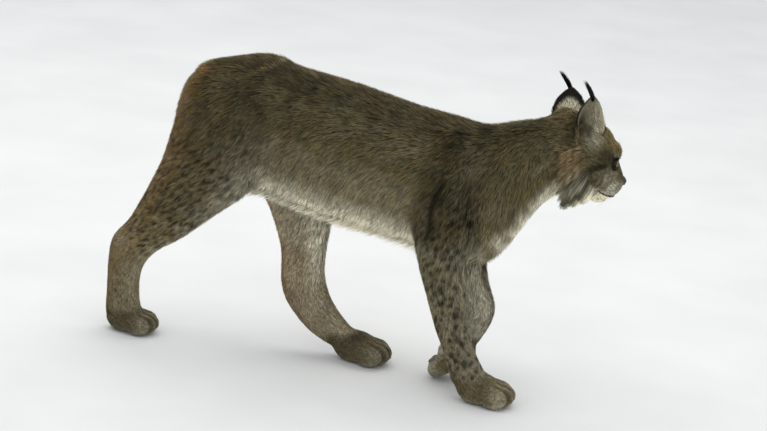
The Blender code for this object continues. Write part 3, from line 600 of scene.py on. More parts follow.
# ---- Markings ----------------------------------------------------------------------------
# A row of a table says which tone, how much of it, and where. Each place is a field, where it
# starts and where it is full, and a fourth number is the share of the tone that it takes away.
# t is how far along the form, u how high in its section, inner how far to the inner side, and
# chest how high over the edge of the pale chest.
CHEST_EDGE = ((0.61, 0.66, 0.74, 0.90), (-0.52, -0.34, -0.20, -0.14))
TONES = {
    "trunk": (
        # The warmth along the top line, from u 0.88, is painted rim light, where light shines through the fur at the
        # outline.
        ("warm", 0.16), ("warm", 0.45, ("t", 0.20, 0.0)), ("warm", 0.45, ("u", 0.88, 0.99)),
        ("warm", 0.16, ("t", 0.78, 0.88), ("u", 0.5, -0.6)),
        ("pale", 0.95, ("u", -0.42, -0.92), ("t", 0.50, 0.60, 0.9)),
        ("pale", 0.14, ("u", 0.3, -0.4), ("t", 0.50, 0.60, 0.9)),
        ("pale", 0.90, ("t", 0.595, 0.64), ("chest", 0.0, -0.27)),
        ("shade", 0.15), ("shade", 0.19, ("u", 0.85, 0.35)), ("shade", 0.13, ("u", 0.40, 0.0)),
        # The lighter shade along the top line, from u 0.90, is painted rim light too.
        ("shade", 0.10, ("u", 0.0, -0.5)), ("shade", 0.10, ("u", 0.90, 0.99)),
        ("shade", 0.05, ("t", 0.78, 0.9)), ("shade", -0.05, ("t", 0.42, 0.22), ("u", 0.7, 0.3)),
        ("shade", 0.035, ("t", 0.42, 0.50), ("u", 0.9, 0.5)),
        ("shade", 0.12, ("u", -0.75, -0.95), ("t", 0.62, 0.54)),
        ("shade", 0.065, ("t", 0.32, 0.42), ("t", 0.66, 0.60), ("u", 0.85, 0.5)),
        ("shade", 0.045, ("t", 0.30, 0.38), ("t", 0.66, 0.60), ("u", 0.96, 0.80), ("u", 0.3, 0.6)),
        ("shade", -0.09, ("t", 0.56, 0.64), ("t", 0.74, 0.68), ("u", 0.05, -0.2)),
        ("shade", 0.07, ("t", 0.66, 0.76), ("u", 0.3, 0.7)),
        ("shade", 0.11, ("t", 0.60, 0.66), ("chest", 0.0, -0.27)),
    ),
    "tail": (("warm", 0.45), ("pale", 0.1), ("dark", 1, ("t", 0.52, 0.68)), ("shade", 0.45)),
    "hind": (
        ("warm", 0.23), ("warm", 0.66, ("u", 0.1, 0.9), ("t", 0.75, 0.45)), ("warm", 0.15, ("t", 0.45, 0.6)),
        ("warm", 0.30, ("u", -0.1, 0.8), ("t", 0.62, 0.75)), ("warm", 0.28, ("inner", 0.0, 0.5)),
        ("pale", 0.54, ("inner", 0.0, 0.8), ("t", 0.36, 0.70, 0.70), ("t", 0.12, 0.30)),
        ("pale", 0.16, ("u", 0.2, -0.9), ("t", 0.12, 0.30)), ("pale", 0.10, ("t", 0.5, 0.8)),
        ("pale", 0.44, ("u", -0.1, -0.8), ("t", 0.24, 0.42), ("t", 0.80, 0.60)),
        ("dark", 0.35, ("u", 0.35, 0.90), ("t", 0.62, 0.78)),
        ("shade", 0.265), ("shade", 0.19, ("t", 0.28, 0.52)), ("shade", 0.09, ("t", 0.20, 0.36)),
        ("shade", 0.17, ("u", 0.45, 0.95), ("t", 0.6, 0.35)), ("shade", 0.04, ("u", 0.4, 0.9), ("t", 0.45, 0.30)),
        ("shade", 0.08, ("t", 0.50, 0.65), ("t", 0.80, 0.70)), ("shade", 0.05, ("u", 0.4, 0.8), ("t", 0.10, 0.20)),
        # The last row here darkens the front of the haunch high up: painted shade.
        ("shade", 0.06, ("inner", 0.0, 0.6), ("t", 0.6, 0.3)), ("shade", -0.05, ("u", 0.0, -0.6), ("t", 0.36, 0.24)),
    ),
    "fore": (
        ("warm", 0.24), ("warm", 0.12, ("t", 0.5, 0.7)),
        ("pale", 0.62, ("inner", 0.0, 0.8), ("t", 0.15, 0.35)), ("pale", 0.12, ("u", 0.0, -0.9)),
        ("pale", 0.10, ("t", 0.5, 0.8)), ("pale", 0.14, ("t", 0.40, 0.55)),
        ("shade", 0.165), ("shade", 0.285, ("t", 0.35, 0.6)), ("shade", -0.06, ("t", 0.62, 0.80)),
        ("shade", 0.15, ("inner", 0.0, 0.6), ("t", 0.7, 0.4)),
    ),
    # In a paw's frame: x forward, z high, gap from the nearest space between two toes.
    "paw": (
        ("warm", 0.22), ("pale", 0.10), ("pale", 0.20, ("gap", 0.004, 0.009), ("x", 0.075, 0.100)),
        # The dark near the gaps between the toes is painted shade.
        ("pale", 0.28, ("z", 0.020, 0.006)), ("dark", 0.34, ("gap", 0.0050, 0.0015), ("x", 0.074, 0.092)),
        ("dark", 0.22, ("z", 0.026, 0.046), ("x", 0.085, 0.060)),
        ("shade", 0.32), ("shade", 0.14, ("fore", 0, 1)), ("shade", 0.10, ("x", 0.06, 0.10)),
    ),
    # In the head's frame: x forward, w to the side, z high, with distances from the nose and the
    # eye, and bar from the middle of the nearest stripe of the forehead.
    "head": (
        ("warm", 0.45, ("x", 0.0, -0.05), ("z", 0.03, -0.01)), ("warm", 0.25, ("x", 0.045, 0.075), ("z", -0.02, 0.01)),
        ("warm", 0.45, ("w", 0.016, 0.006), ("x", 0.066, 0.080), ("z", -0.020, -0.008)),
        ("warm", 0.25, ("x", -0.01, 0.03), ("z", 0.030, 0.045)),
        ("pale", 1, ("z", -0.036, -0.048), ("x", -0.06, 0.02)),
        ("pale", 0.55, ("z", -0.030, -0.046), ("x", -0.08, -0.02)),
        ("dark", 0.50, ("w", 0.016, 0.006), ("x", 0.066, 0.080), ("z", -0.020, -0.008)),
        ("dark", 0.88, ("eye", 0.0155, 0.0120), ("w", 0.020, 0.026)),
        ("dark", 0.38, ("bar", 0.0026, 0.0008), ("z", 0.030, 0.046), ("w", 0.040, 0.028), ("x", -0.03, 0.0)),
        ("dark", 0.7, ("nose", 0.016, 0.011), ("w", 0.018, 0.012)),
        ("shade", 0.49), ("shade", 0.11, ("x", 0.02, 0.06)), ("shade", -0.20, ("x", 0.0, -0.06), ("z", 0.0, 0.04)),
        ("shade", 0.34, ("z", -0.036, -0.048)), ("shade", 0.17, ("x", -0.01, 0.02), ("z", 0.030, 0.045)),
        ("shade", 0.05, ("x", 0.055, 0.070), ("z", 0.000, -0.012)),
    ),
}
# Soft patches of the head: which tone, how much, x, z, half length, half height, and from where
# to where on the side it grows, if not all over.
HEAD_PATCHES = (
    ("warm", 0.75, -0.045, 0.004, 0.022, 0.022),
    ("warm", 0.35, 0.035, -0.018, 0.026, 0.014, 0.010, 0.022),
    ("pale", 0.82, 0.074, -0.028, 0.022, 0.015),
    ("pale", 0.48, 0.046, -0.016, 0.028, 0.017, 0.010, 0.022),
    ("pale", 0.50, -0.012, 0.049, 0.020, 0.016, 0.03, 0.045),
    ("pale", 0.70, 0.056, 0.001, 0.013, 0.006, 0.010, 0.022),
    ("pale", 0.52, 0.056, 0.036, 0.014, 0.005, 0.010, 0.022),
    ("dark", 0.34, -0.070, 0.032, 0.022, 0.022, 0.03, 0.05),
    ("dark", 0.56, 0.020, 0.024, 0.024, 0.019, 0.03, 0.05),
    ("dark", 0.78, -0.024, 0.055, 0.008, 0.010, 0.03, 0.045),
    ("shade", 0.12, -0.012, 0.049, 0.020, 0.016),
    ("shade", -0.10, 0.005, 0.004, 0.030, 0.022),
    ("shade", -0.06, -0.045, 0.006, 0.024, 0.024),
)
# Dark streaks over the cheek, under it and from the eye to the nose: how dark, where it fades
# and where it is full, and the line that it follows.
HEAD_STREAKS = (
    (0.74, 0.0115, 0.003,
     ((0.040, 0.045, 0.016), (0.020, 0.066, 0.006), (-0.005, 0.078, -0.010), (-0.022, 0.078, -0.034))),
    (0.40, 0.007, 0.002, ((0.046, 0.044, -0.006), (0.026, 0.062, -0.016), (0.004, 0.074, -0.030))),
    (0.80, 0.0050, 0.0015, ((0.062, 0.025, 0.013), (0.074, 0.018, 0.001), (0.086, 0.014, -0.009))),
)
# How dark and wide the rows of whiskers are, and how far apart.
WHISKER_ROWS = (0.45, 0.0062)


def spot_table(skin):
    """Dark spots set on the skin: places at least a spacing apart, each with a radius and a strength."""
    chance = np.random.default_rng(11)
    strength, apart = np.zeros((2, len(skin.points)))
    for some, rows in zip(FORMS, skin.found):
        share, t, u, s = rows[:, :4].T
        outer = 1 - 0.85 * ease(-some.side * s, 0.0, 0.5)
        power, spacing = {
            "hind": (ease(t, 0.16, 0.38) * (1 - 0.80 * ease(t, 0.64, 0.74)) * outer, 0.0112),
            "fore": (1.10 * ease(t, 0.22, 0.44) * outer, 0.0135),
            "trunk": (0.18 * ease(u, -0.9, -0.3), 0.026),
            "paw": (0.30 * ease(t, 0.6, 0.2), 0.017),
        }.get(some.kind, (0, 0.017))
        strength += share * power
        apart += share * spacing
    order = chance.permutation(np.flatnonzero(strength > 0.06))[:20000]
    kept, radii, powers, used = np.full((4000, 3), 9.0), [], [], 0
    for k in order:
        if used == len(kept) or ((kept[:used] - skin.points[k]) ** 2).sum(axis=1).min(initial=1) < apart[k] ** 2:
            continue
        kept[used] = skin.points[k]
        used += 1
        radii.append(apart[k] * chance.uniform(0.22, 0.52))
        powers.append(min(0.97, strength[k] * chance.uniform(0.60, 1.20)))
    tree = KDTree(used)
    for k, place in enumerate(kept[:used].tolist()):
        tree.insert(place, k)
    tree.balance()
    return kept, np.array(radii), np.array(powers), tree


def spots_at(points, lie, out, table):
    """How dark the nearest spots make each point, whatever its height over the skin: uneven ovals
    drawn out along the hair."""
    places, radii, powers, tree = table
    spot = np.array([tree.find(p)[1] for p in points.tolist()])
    away = points - places[spot]
    away -= out * dots(away, out)[:, None]
    reach = np.sqrt(np.maximum(dots(away, away) - 0.35 * dots(away, lie) ** 2, 0)) / radii[spot]
    reach = reach * (1 + 0.42 * ripple(points, 0.013, 9))
    return ease(reach, 1.40, 0.70) * powers[spot]


def spotted(marks, spots):
    """The darkness of some marks with spots in them, fainter where the coat is pale."""
    return np.maximum(marks[:, 2], spots * (1 - 0.5 * marks[:, 1]))


def line_gap(points, line):
    """Distance of each point from a bent line, by its closest sample."""
    samples = through(line, 24)
    return np.sqrt(((points[:, None] - samples[None]) ** 2).sum(axis=-1).min(axis=1))


def toe_gaps(points, name):
    """Where points are in a paw's frame: how far forward, how far from the nearest gap between two
    toes, and how high."""
    x, y, z = placed(points, paw_frame(name).inverted()).T
    w = np.abs(y)
    return x, np.minimum(w, np.abs(w - 0.0212)), z


def toned(kind, fields):
    """Warm, pale, dark and shade from a form's table. They add up, but of the pale and of the dark
    marks of the head the strongest counts."""
    tones = {name: np.zeros(len(fields["z" if kind == "head" else "t"])) for name in ("warm", "pale", "dark", "shade")}
    for name, strength, *places in TONES[kind]:
        for field, start, end, *taken in places:
            share = ease(fields[field], start, end)
            strength = strength * (1 - taken[0] * share if taken else share)
        if kind == "head" and name in ("pale", "dark"):
            tones[name] = np.maximum(tones[name], strength)
        else:
            tones[name] += strength
    return tones


def head_tones(points):
    """Markings of the head, in its own frame."""
    flat = one_side(placed(points, HEAD_BACK))
    x, w, z = flat.T
    tones = toned("head", {
        "x": x, "w": w, "z": z, "eye": np.hypot(x - EYE[0] - 0.002, z - EYE[2]),
        "nose": np.hypot(x - 0.103, z + 0.008), "bar": np.abs(np.mod(w + 0.004, 0.011) - 0.0055),
    })
    for name, strength, at_x, at_z, long, high, *sides in HEAD_PATCHES:
        patch = strength * dome(x - at_x, long) * dome(z - at_z, high) * (ease(w, *sides) if sides else 1)
        tones[name] = np.maximum(tones[name], patch) if name in ("pale", "dark") else tones[name] + patch
    for strength, faint, full, line in HEAD_STREAKS:
        streak = strength * ease(line_gap(flat, line), faint, full) * ease(x, 0.090, 0.070)
        tones["dark"] = np.maximum(tones["dark"], streak)
    strength, apart = WHISKER_ROWS
    rows = strength * (0.5 + 0.5 * np.sin((z + 0.35 * x) * 2 * math.pi / apart))
    rows = rows * dome(x - 0.074, 0.016) * dome(z + 0.026, 0.012) * ease(w, 0.010, 0.022)
    tones["dark"] = np.maximum(tones["dark"], rows)
    return {name: np.clip(tone, 0, 1) for name, tone in tones.items()}


def fold_shade_at(points):
    """Painted shade in the fold behind each upper arm and in the band down the front of each haunch,
    by where they cross each height."""
    x, y, z = points.T
    out = ease(np.abs(y), 0.045, 0.075)
    arm = np.interp(z, (0.3455, 0.3747, 0.3982, 0.4188, 0.4464, 0.4657, 0.4861),
                    (0.1280, 0.1385, 0.1420, 0.1420, 0.1435, 0.1490, 0.1613))
    arm = dome(x - arm, 0.0070) * ease(z, 0.505, 0.482) * ease(z, 0.345, 0.362) * out
    haunch = np.interp(z, (0.489, 0.559, 0.617), (-0.262, -0.285, -0.310))
    haunch = dome(x - haunch, 0.020) * ease(z, 0.650, 0.610) * ease(z, 0.450, 0.490) * out
    return arm, haunch


def coat_tones(points, found):
    """Markings of skin and coat at some points, but for the spots: how warm, how pale, how dark,
    and their shade, with painted shade in the folds of the arms and haunches."""
    marks = np.zeros((len(points), 4))
    for some, rows in zip(FORMS, found):
        share, t, u, s = rows[:, :4].T
        if some.kind == "head":
            tones = head_tones(points)
        else:
            fields = {"t": t, "u": u, "inner": -some.side * s, "chest": u - np.interp(t, *CHEST_EDGE)}
            if some.kind == "paw":
                fields["x"], fields["gap"], fields["z"] = toe_gaps(points, some.name)
                fields["fore"] = float(some.name.startswith("fore"))
            tones = toned(some.kind, fields)
        marks += share[:, None] * np.stack(list(tones.values()), axis=1)
    # Painted shade: darker in the fold behind each upper arm and down the front of each haunch.
    arm, haunch = fold_shade_at(points)
    marks[:, 0] += 0.10 * ripple(points, 0.09, 1)
    marks[:, 1] += 0.06 * ripple(points, 0.05, 2)
    marks[:, 2] += 0.85 * arm + 0.10 * haunch
    marks[:, 3] += 0.05 * ripple(points, 0.06, 3) + 0.035 * ripple(points, 0.022, 4) - 0.05 * haunch
    return np.clip(marks, 0, 1)


# ---- Materials ---------------------------------------------------------------------------
def fill(tree, made, values):
    """Sets or links a node's inputs, by name or number."""
    for key, value in values.items():
        if isinstance(value, bpy.types.NodeSocket):
            tree.links.new(value, made.inputs[key])
        else:
            made.inputs[key].default_value = value


def node(tree, kind, values=None, **settings):
    """A shader node with its settings, and values or links for its inputs. Gives its outputs."""
    made = tree.nodes.new(kind)
    for name, value in settings.items():
        setattr(made, name, value)
    fill(tree, made, values or {})
    return made.outputs


def maths(tree, operation, a, b=0.0, c=0.0):
    return node(tree, "ShaderNodeMath", {0: a, 1: b, 2: c}, operation=operation)[0]


def mixed(tree, share, a, b, blend="MIX"):
    return node(tree, "ShaderNodeMix", {0: share, 6: a, 7: b}, data_type="RGBA", blend_type=blend)[2]


def ramp(tree, value, stops):
    """A colour ramp with stops of place and grey value or colour."""
    made = tree.nodes.new("ShaderNodeValToRGB")
    fill(tree, made, {0: value})
    made.color_ramp.elements.remove(made.color_ramp.elements[1])
    for k, (place, colour) in enumerate(stops):
        stop = made.color_ramp.elements[0] if k == 0 else made.color_ramp.elements.new(place)
        stop.position = place
        stop.color = (colour, colour, colour, 1) if isinstance(colour, float) else (*colour, 1)
    return made.outputs[0]


def own_place(tree):
    """A piece's own coordinates."""
    return node(tree, "ShaderNodeTexCoord")["Object"]


def noise(tree, place, scale, detail):
    return node(tree, "ShaderNodeTexNoise", {"Vector": place, "Scale": scale, "Detail": detail})[0]


def bump_of(tree, height, strength, distance):
    return node(tree, "ShaderNodeBump", {"Height": height, "Strength": strength, "Distance": distance})[0]


def material(name, values):
    """A material, its tree and its shader, with values for some of the shader's inputs."""
    made = bpy.data.materials.new(name)
    made.use_nodes = True
    shader = made.node_tree.nodes["Principled BSDF"]
    fill(made.node_tree, shader, values)
    return made, made.node_tree, shader


def tone_group():
    """Mixes a coat's colours from its markings, and shades each tuft from root to tip: the dark root is painted shade
    between the tufts, the dark tip the hair's own ticking.
    """
    group = bpy.data.node_groups.new("coat_tones", "ShaderNodeTree")
    for label in ("Marks", "Shade", "Strand", "Ground", "Warm", "Pale", "Dark", "Contrast"):
        kind = "NodeSocketFloat" if label in ("Shade", "Contrast") else "NodeSocketColor"
        group.interface.new_socket(label, in_out="INPUT", socket_type=kind)
    group.interface.new_socket("Color", in_out="OUTPUT", socket_type="NodeSocketColor")
    given = group.nodes.new("NodeGroupInput").outputs
    marks = node(group, "ShaderNodeSeparateColor", {0: given["Marks"]})
    strand = node(group, "ShaderNodeSeparateColor", {0: given["Strand"]})
    colour = given["Ground"]
    for k, label in enumerate(("Warm", "Pale", "Dark")):
        colour = mixed(group, marks[k], colour, given[label])
    # Each tuft and each clump is lighter or darker by its own chance.
    spread, clump = (
        maths(group, "MULTIPLY_ADD", maths(group, "SUBTRACT", strand[k], 0.5), given["Contrast"], 1.0) for k in (1, 2)
    )
    shade = maths(group, "MULTIPLY_ADD", given["Shade"], 1.6, 0.10)
    light = maths(group, "MULTIPLY", maths(group, "MULTIPLY", spread, clump), shade)
    # Darker at the root: painted shade between the tufts; darker at the tip: the hair's own dark ticking.
    length = ramp(group, strand[0], ((0.0, 0.42), (0.40, 0.78), (0.72, 1.26), (0.88, 1.08), (1.0, 0.58)))
    light = maths(group, "MULTIPLY", light, length)
    value = node(group, "ShaderNodeCombineColor", {0: light, 1: light, 2: light})[0]
    out = group.nodes.new("NodeGroupOutput")
    fill(group, out, {0: mixed(group, 1.0, colour, value, "MULTIPLY")})
    return group


COAT_COLOURS = {
    "Ground": (0.171, 0.150, 0.069, 1), "Warm": (0.240, 0.140, 0.046, 1),
    "Pale": (0.735, 0.690, 0.530, 1), "Dark": (0.024, 0.020, 0.012, 1),
}


def fur_finish(name, group, contrast, bumpy):
    """Fur: the coat's tones, matt, with a faint sheen. The skin's own finish adds fine bumps. A tuft
    seen from below glows with the light above it, because hair lets light through."""
    made, tree, shader = material(name, {
        "Roughness": 0.72, "Specular IOR Level": 0.14, "Sheen Weight": 0.03, "Sheen Roughness": 0.45,
    })
    marks, strand = (node(tree, "ShaderNodeAttribute", attribute_name=label) for label in ("marks", "strand"))
    given = {"Marks": marks["Color"], "Shade": marks["Alpha"], "Strand": strand["Color"], "Contrast": contrast}
    colour = node(tree, "ShaderNodeGroup", given | COAT_COLOURS, node_tree=group)[0]
    fill(tree, shader, {"Base Color": colour})
    if bumpy:
        fill(tree, shader, {"Normal": bump_of(tree, noise(tree, own_place(tree), 420.0, 3.0), 0.5, 0.001)})
    else:
        through = node(tree, "ShaderNodeBsdfTranslucent", {"Color": colour})[0]
        below = maths(tree, "MULTIPLY", node(tree, "ShaderNodeNewGeometry")["Backfacing"],
                      node(tree, "ShaderNodeLightPath")["Is Camera Ray"])
        both = node(tree, "ShaderNodeMixShader", {0: below, 1: shader.outputs[0], 2: through})[0]
        fill(tree, tree.nodes["Material Output"], {"Surface": both})
    return made


# ---- The skin ----------------------------------------------------------------------------
def neighbour_mean(points, edges):
    """The mean of each point's neighbours along the edges."""
    total = np.zeros_like(points)
    count = np.bincount(edges.ravel(), minlength=len(points))[:, None]
    for k in range(points.shape[1]):
        for a, b in ((0, 1), (1, 0)):
            total[:, k] += np.bincount(edges[:, a], points[edges[:, b], k], len(points))
    return total / np.maximum(count, 1)


def triangle_normals(points, triangles):
    a, b, c = (points[triangles[:, k]] for k in range(3))
    return np.cross(b - a, c - a)


def point_normals(points, triangles):
    """The way out at each point: the sum of its triangles' area normals."""
    flat = triangle_normals(points, triangles)
    total = np.zeros_like(points)
    for k in range(3):
        for axis in range(3):
            total[:, axis] += np.bincount(triangles[:, k], flat[:, axis], len(points))
    return unit(total)


def eye_frame(side):
    """The frame of one eye, +X the way it looks."""
    yaw, nod, tip = EYE_TURN
    return HEAD @ turned(mirrored(EYE, side), yaw * side, nod, tip * side)


def lid_drop(inward):
    """How much lower the opening of the lids lies towards the nose."""
    return -0.0022 * np.clip(inward / EYE_OPENING[0], 0, 1.1) ** 2


def lid_gap(points, side):
    """How far outside the opening of the lids each point is: 1 on its edge, and more outside. Points
    behind the eye count as far outside."""
    x, y, z = placed(points, eye_frame(side).inverted()).T
    inward = -y * side
    across = np.abs(inward) / (EYE_OPENING[0] * np.where(inward > 0, EYE_INNER, 1.0))
    z = z - lid_drop(inward)
    half = np.where(z > 0, EYE_OPENING[1], EYE_OPENING[2]) * np.clip(1 - across**2, 0.0, 1) ** 0.62 + 1e-4
    far = np.maximum(across, np.abs(z) / half * (across < 1))
    return np.where(x > 0.002, far, 9.0)


def shape_face(points, normals):
    """Sets the line of the mouth, the sockets of the eyes and the groove under the nose in the skin."""
    local = placed(points, HEAD_BACK)
    flat = one_side(local)
    near = (local[:, 0] > 0.02) & (flat[:, 1] < 0.06)
    gap = np.full(len(points), 1.0)
    gap[near] = line_gap(flat[near], MOUTH)
    inward = 0.0030 * dome(gap, 0.0024) - 0.0008 * dome(gap - 0.0052, 0.0020)
    groove = (local[:, 0] > 0.085) & (local[:, 2] < -0.016) & (local[:, 2] > -0.040)
    inward += 0.0012 * dome(local[:, 1], 0.0016) * groove
    points = points - normals * inward[:, None]
    for side in (LEFT, RIGHT):
        place = eye_frame(side)
        eye = placed(points, place.inverted())
        radius = np.linalg.norm(eye, axis=1)
        open_here = ease(lid_gap(points, side), 1.25, 0.95) * (radius < 0.022)
        target = eye * (EYE_RADIUS * 0.80 / np.maximum(radius, 1e-6))[:, None]
        eye = eye + (target - eye) * open_here[:, None]
        points = np.where((open_here > 0)[:, None], placed(eye, place), points)
    return points


def shape_toes(points, normals):
    """Draws the skin in between the toes."""
    inward = np.zeros(len(points))
    for name in PAWS:
        x, gap, z = toe_gaps(points, name)
        near = (x < 0.15) & (x > 0.06) & (z > 0.0) & (z < 0.07) & (gap < 0.02)
        inward += near * 0.0026 * dome(gap, 0.0032) * ease(x, 0.074, 0.090)
    return points - normals * inward[:, None]


def make_skin():
    """One closed skin: the body and the head melted apart, joined where they cross, smoothed there
    and drawn in by the depth of the coat."""
    solids = [loft(TRUNK, 60)] + [loft(rows) for rows in (TAIL, HIND_RIGHT, HIND_LEFT, FORE_RIGHT, FORE_LEFT)]
    for name in PAWS:
        solids += paw_solids(name)
    body = melted("skin", solids, BODY_VOXEL, 8)
    head = melted("skin_head", head_solids(), HEAD_VOXEL, 14)
    union = body.modifiers.new("Union", "BOOLEAN")
    union.operation, union.object, union.solver = "UNION", head, "MANIFOLD"
    settle(body)
    mesh = body.data
    points, triangles, edges = mesh_arrays(mesh)
    bpy.data.objects.remove(head)
    bpy.data.objects.remove(body)
    bpy.data.meshes.remove(mesh)
    head_share = read_forms(points)[-1][:, 0]
    seam = (ease(head_share, 0.02, 0.30) * ease(head_share, 0.98, 0.70))[:, None]
    for _ in range(30):
        points = points + (neighbour_mean(points, edges) - points) * 0.5 * seam
    fields = coat_fields(points, read_forms(points))[0]
    normals = point_normals(points, triangles)
    depth = neighbour_mean(fields[:, :1] * ease(points[:, 2:], -0.004, 0.012), edges)
    points = shape_face(points - normals * depth, normals)
    points[:, 2] = np.maximum(points[:, 2], SKIN_FLOOR)
    for _ in range(2):
        low = (1 - head_share)[:, None] * 0.4
        points = points + (neighbour_mean(points, edges) - points) * low
    points = shape_toes(points, point_normals(points, triangles))
    found = read_forms(points)
    fields, lie = coat_fields(points, found)
    tree = BVHTree.FromPolygons(points.tolist(), triangles.tolist())
    return SimpleNamespace(points=points, triangles=triangles, normals=point_normals(points, triangles),
                           fields=fields, lie=lie, found=found, tree=tree)


# ---- Tufts -------------------------------------------------------------------------------
def nearest(tree, points):
    """The closest places of the skin to some points, and the ways out there."""
    hits = [tree.find_nearest(p)[:2] for p in points.tolist()]
    return np.array([h[0][:] for h in hits]), np.array([h[1][:] for h in hits])


def group_means(group, rows):
    """For each row the mean of the rows of its group."""
    total = np.maximum(np.bincount(group), 1)
    return np.stack([np.bincount(group, column) / total for column in rows.T], axis=1)[group]


def gathered(points, tips, cell, share, seed):
    """Tips drawn together in clumps: a tip moves by a share towards the middle of the tips whose
    roots are in the same cell of a grid, bent by soft noise. Also each tuft's clump, as a number."""
    bent = points + 0.35 * cell * ripples(points, cell * 5, seed)
    # The three numbers of a cell as one.
    keys = np.floor(bent / cell).astype(np.int64) + 1000
    _, clump = np.unique((keys[:, 0] * 4000 + keys[:, 1]) * 4000 + keys[:, 2], return_inverse=True)
    return tips + (group_means(clump, tips) - tips) * share, clump


def blades(roots, tips, outs, tip_outs, lie, widths, bends=1, arch=0.25):
    """Leaf-shaped blades: two points at the root, then at each bend a left, a raised middle and a
    right point, and one at the tip. The spine rises above the line from root to tip by arch times
    the length times s (1 - s). A blade has 4 triangles for each bend, and one more."""
    count = len(roots)
    run = tips - roots
    length = np.linalg.norm(run, axis=1)[:, None]
    across = unit(np.cross(lie, outs))
    # Where along it a blade is widest, and how high its middle stands by its half width.
    widest, keel = 0.45, 0.90
    rows = []
    for s in (0.0, widest) if bends == 1 else np.linspace(0, 1, bends + 2)[:-1]:
        out = unit(outs * (1 - s) + tip_outs * s)
        place = roots + run * s + out * length * arch * s * (1 - s)
        wide = widths[:, None] * (0.30 if s == 0 else 0.5 * (1 - max(0.0, s - widest) / 0.62))
        for way in (-1, 1) if s == 0 else (-1, 0, 1):
            lift = wide * keel if way == 0 else 0
            rows.append((place + across * wide * way + out * lift, unit(out + across * way * 0.55), s, way * 0.5))
    rows.append((tips, unit(tip_outs + lie * 0.4), 1.0, 0.0))
    points, normals, along, sideways = zip(*rows)
    corners = [(0, 1, 3), (0, 3, 2), (1, 4, 3)]
    for a in range(2, 3 * bends - 1, 3):
        corners += [(a, a + 1, a + 4), (a, a + 4, a + 3), (a + 1, a + 2, a + 5), (a + 1, a + 5, a + 4)]
    last, per = 3 * bends - 1, 3 * bends + 3
    corners += [(last, last + 1, last + 3), (last + 1, last + 2, last + 3)]
    return SimpleNamespace(
        points=np.stack(points, axis=1).reshape(-1, 3), normals=np.stack(normals, axis=1).reshape(-1, 3),
        along=np.tile(along, count), sideways=np.tile(sideways, count), per=per,
        faces=(np.arange(count)[:, None, None] * per + np.array(corners)[None]).reshape(-1, 3),
    )


def hair_piece(name, groups, finish, slot):
    """A piece from groups of blades, each with its points' marks, its blades' two chances and their
    places on the map, where a blade is a small patch."""
    rows = []
    for made, marks, luck, patch in groups:
        luck, patch = (np.repeat(values, made.per, axis=0) for values in (luck, patch))
        strand = np.column_stack([made.along, luck, np.ones(len(luck))])
        patch = patch + PATCH * np.column_stack([made.sideways, made.along - 0.5])
        rows.append((made.normals, marks, strand, patch))
    normals, marks, strand, patches = (np.vstack(values) for values in zip(*rows))
    points, faces = joined([(group[0].points, group[0].faces) for group in groups])
    print(name, len(faces), "triangles")
    piece(name, points, faces, finish, slot, {"marks": marks, "strand": strand}, normals, patches)


def unwrapped(u, v):
    """A place on the map from two numbers that unroll the skin, each drawn out to fill the map."""
    wide = 1 - 2 * MAP_EDGE
    return np.stack([MAP_EDGE + wide * (k - k.min()) / max(np.ptp(k), 1e-9) for k in (u, v)], axis=1)


def scatter(skin, chance):
    """Roots over the whole skin, as many as the cover asks: even steps along the summed weights."""
    corners = skin.points[skin.triangles]
    area = np.linalg.norm(triangle_normals(skin.points, skin.triangles), axis=1) / 2
    fields = skin.fields[skin.triangles].mean(axis=1)
    total = (area * fields[:, 4] / (0.55 * fields[:, 2] * fields[:, 3])).cumsum()
    count = int(total[-1])
    places = (np.arange(count) + chance.uniform(0, 1, count)) * total[-1] / count
    face = np.minimum(np.searchsorted(total, places), len(total) - 1)
    a, b = chance.uniform(0, 1, (2, count))
    over = a + b > 1
    a, b = np.where(over, 1 - a, a), np.where(over, 1 - b, b)
    parts = np.stack([1 - a - b, a, b], axis=1)[:, :, None]
    corner = skin.triangles[face]
    points = (corners[face] * parts).sum(axis=1)
    normals, fields, lie = ((values[corner] * parts).sum(axis=1) for values in (skin.normals, skin.fields, skin.lie))
    kept = ~bare_places(points)
    return points[kept], unit(normals[kept]), fields[kept], unit(lie[kept])


def bare_places(points):
    """Where no tuft grows: the eyes, the nose, the line of the mouth and the soles."""
    local = placed(points, HEAD_BACK)
    bare = points[:, 2] < SOLE
    for side in (LEFT, RIGHT):
        eye = np.linalg.norm(placed(points, eye_frame(side).inverted()), axis=1) < 0.020
        bare |= eye & (lid_gap(points, side) < 1.22)
    nose = (local - np.array(NOSE)) / (0.0122, 0.0146, 0.0112)
    bare |= (np.linalg.norm(nose, axis=1) < 0.92) & (local[:, 0] > 0.094)
    face = np.flatnonzero((local[:, 0] > 0.03) & (local[:, 2] < -0.02) & (local[:, 2] > -0.05))
    bare[face[line_gap(one_side(local[face]), MOUTH) < 0.0020]] = True
    return bare


def cuts_of(some, mine, rows, points):
    """The pieces that the coat of one form is cut into: the name and the tufts of each. The line
    between both sides of the trunk follows the neck as it turns to the left."""
    if some.name == "trunk":
        right = points[:, 1] < np.interp(rows[:, 1], (0.6, 1), (0, 0.09))
        return [
            (f"coat_{end}_{side}", mine & (rows[:, 1] >= a) & (rows[:, 1] < b) & (right == (side == "right")))
            for end, a, b in (("rump", -1, 0.30), ("flank", 0.30, 0.62), ("neck", 0.62, 2))
            for side in ("right", "left")
        ]
    if some.name == "head":
        forward = placed(points, HEAD_BACK)[:, 0] >= 0.035
        return [("coat_crown", mine & ~forward), ("coat_face", mine & forward)]
    return [(f"coat_{some.name}", mine)]


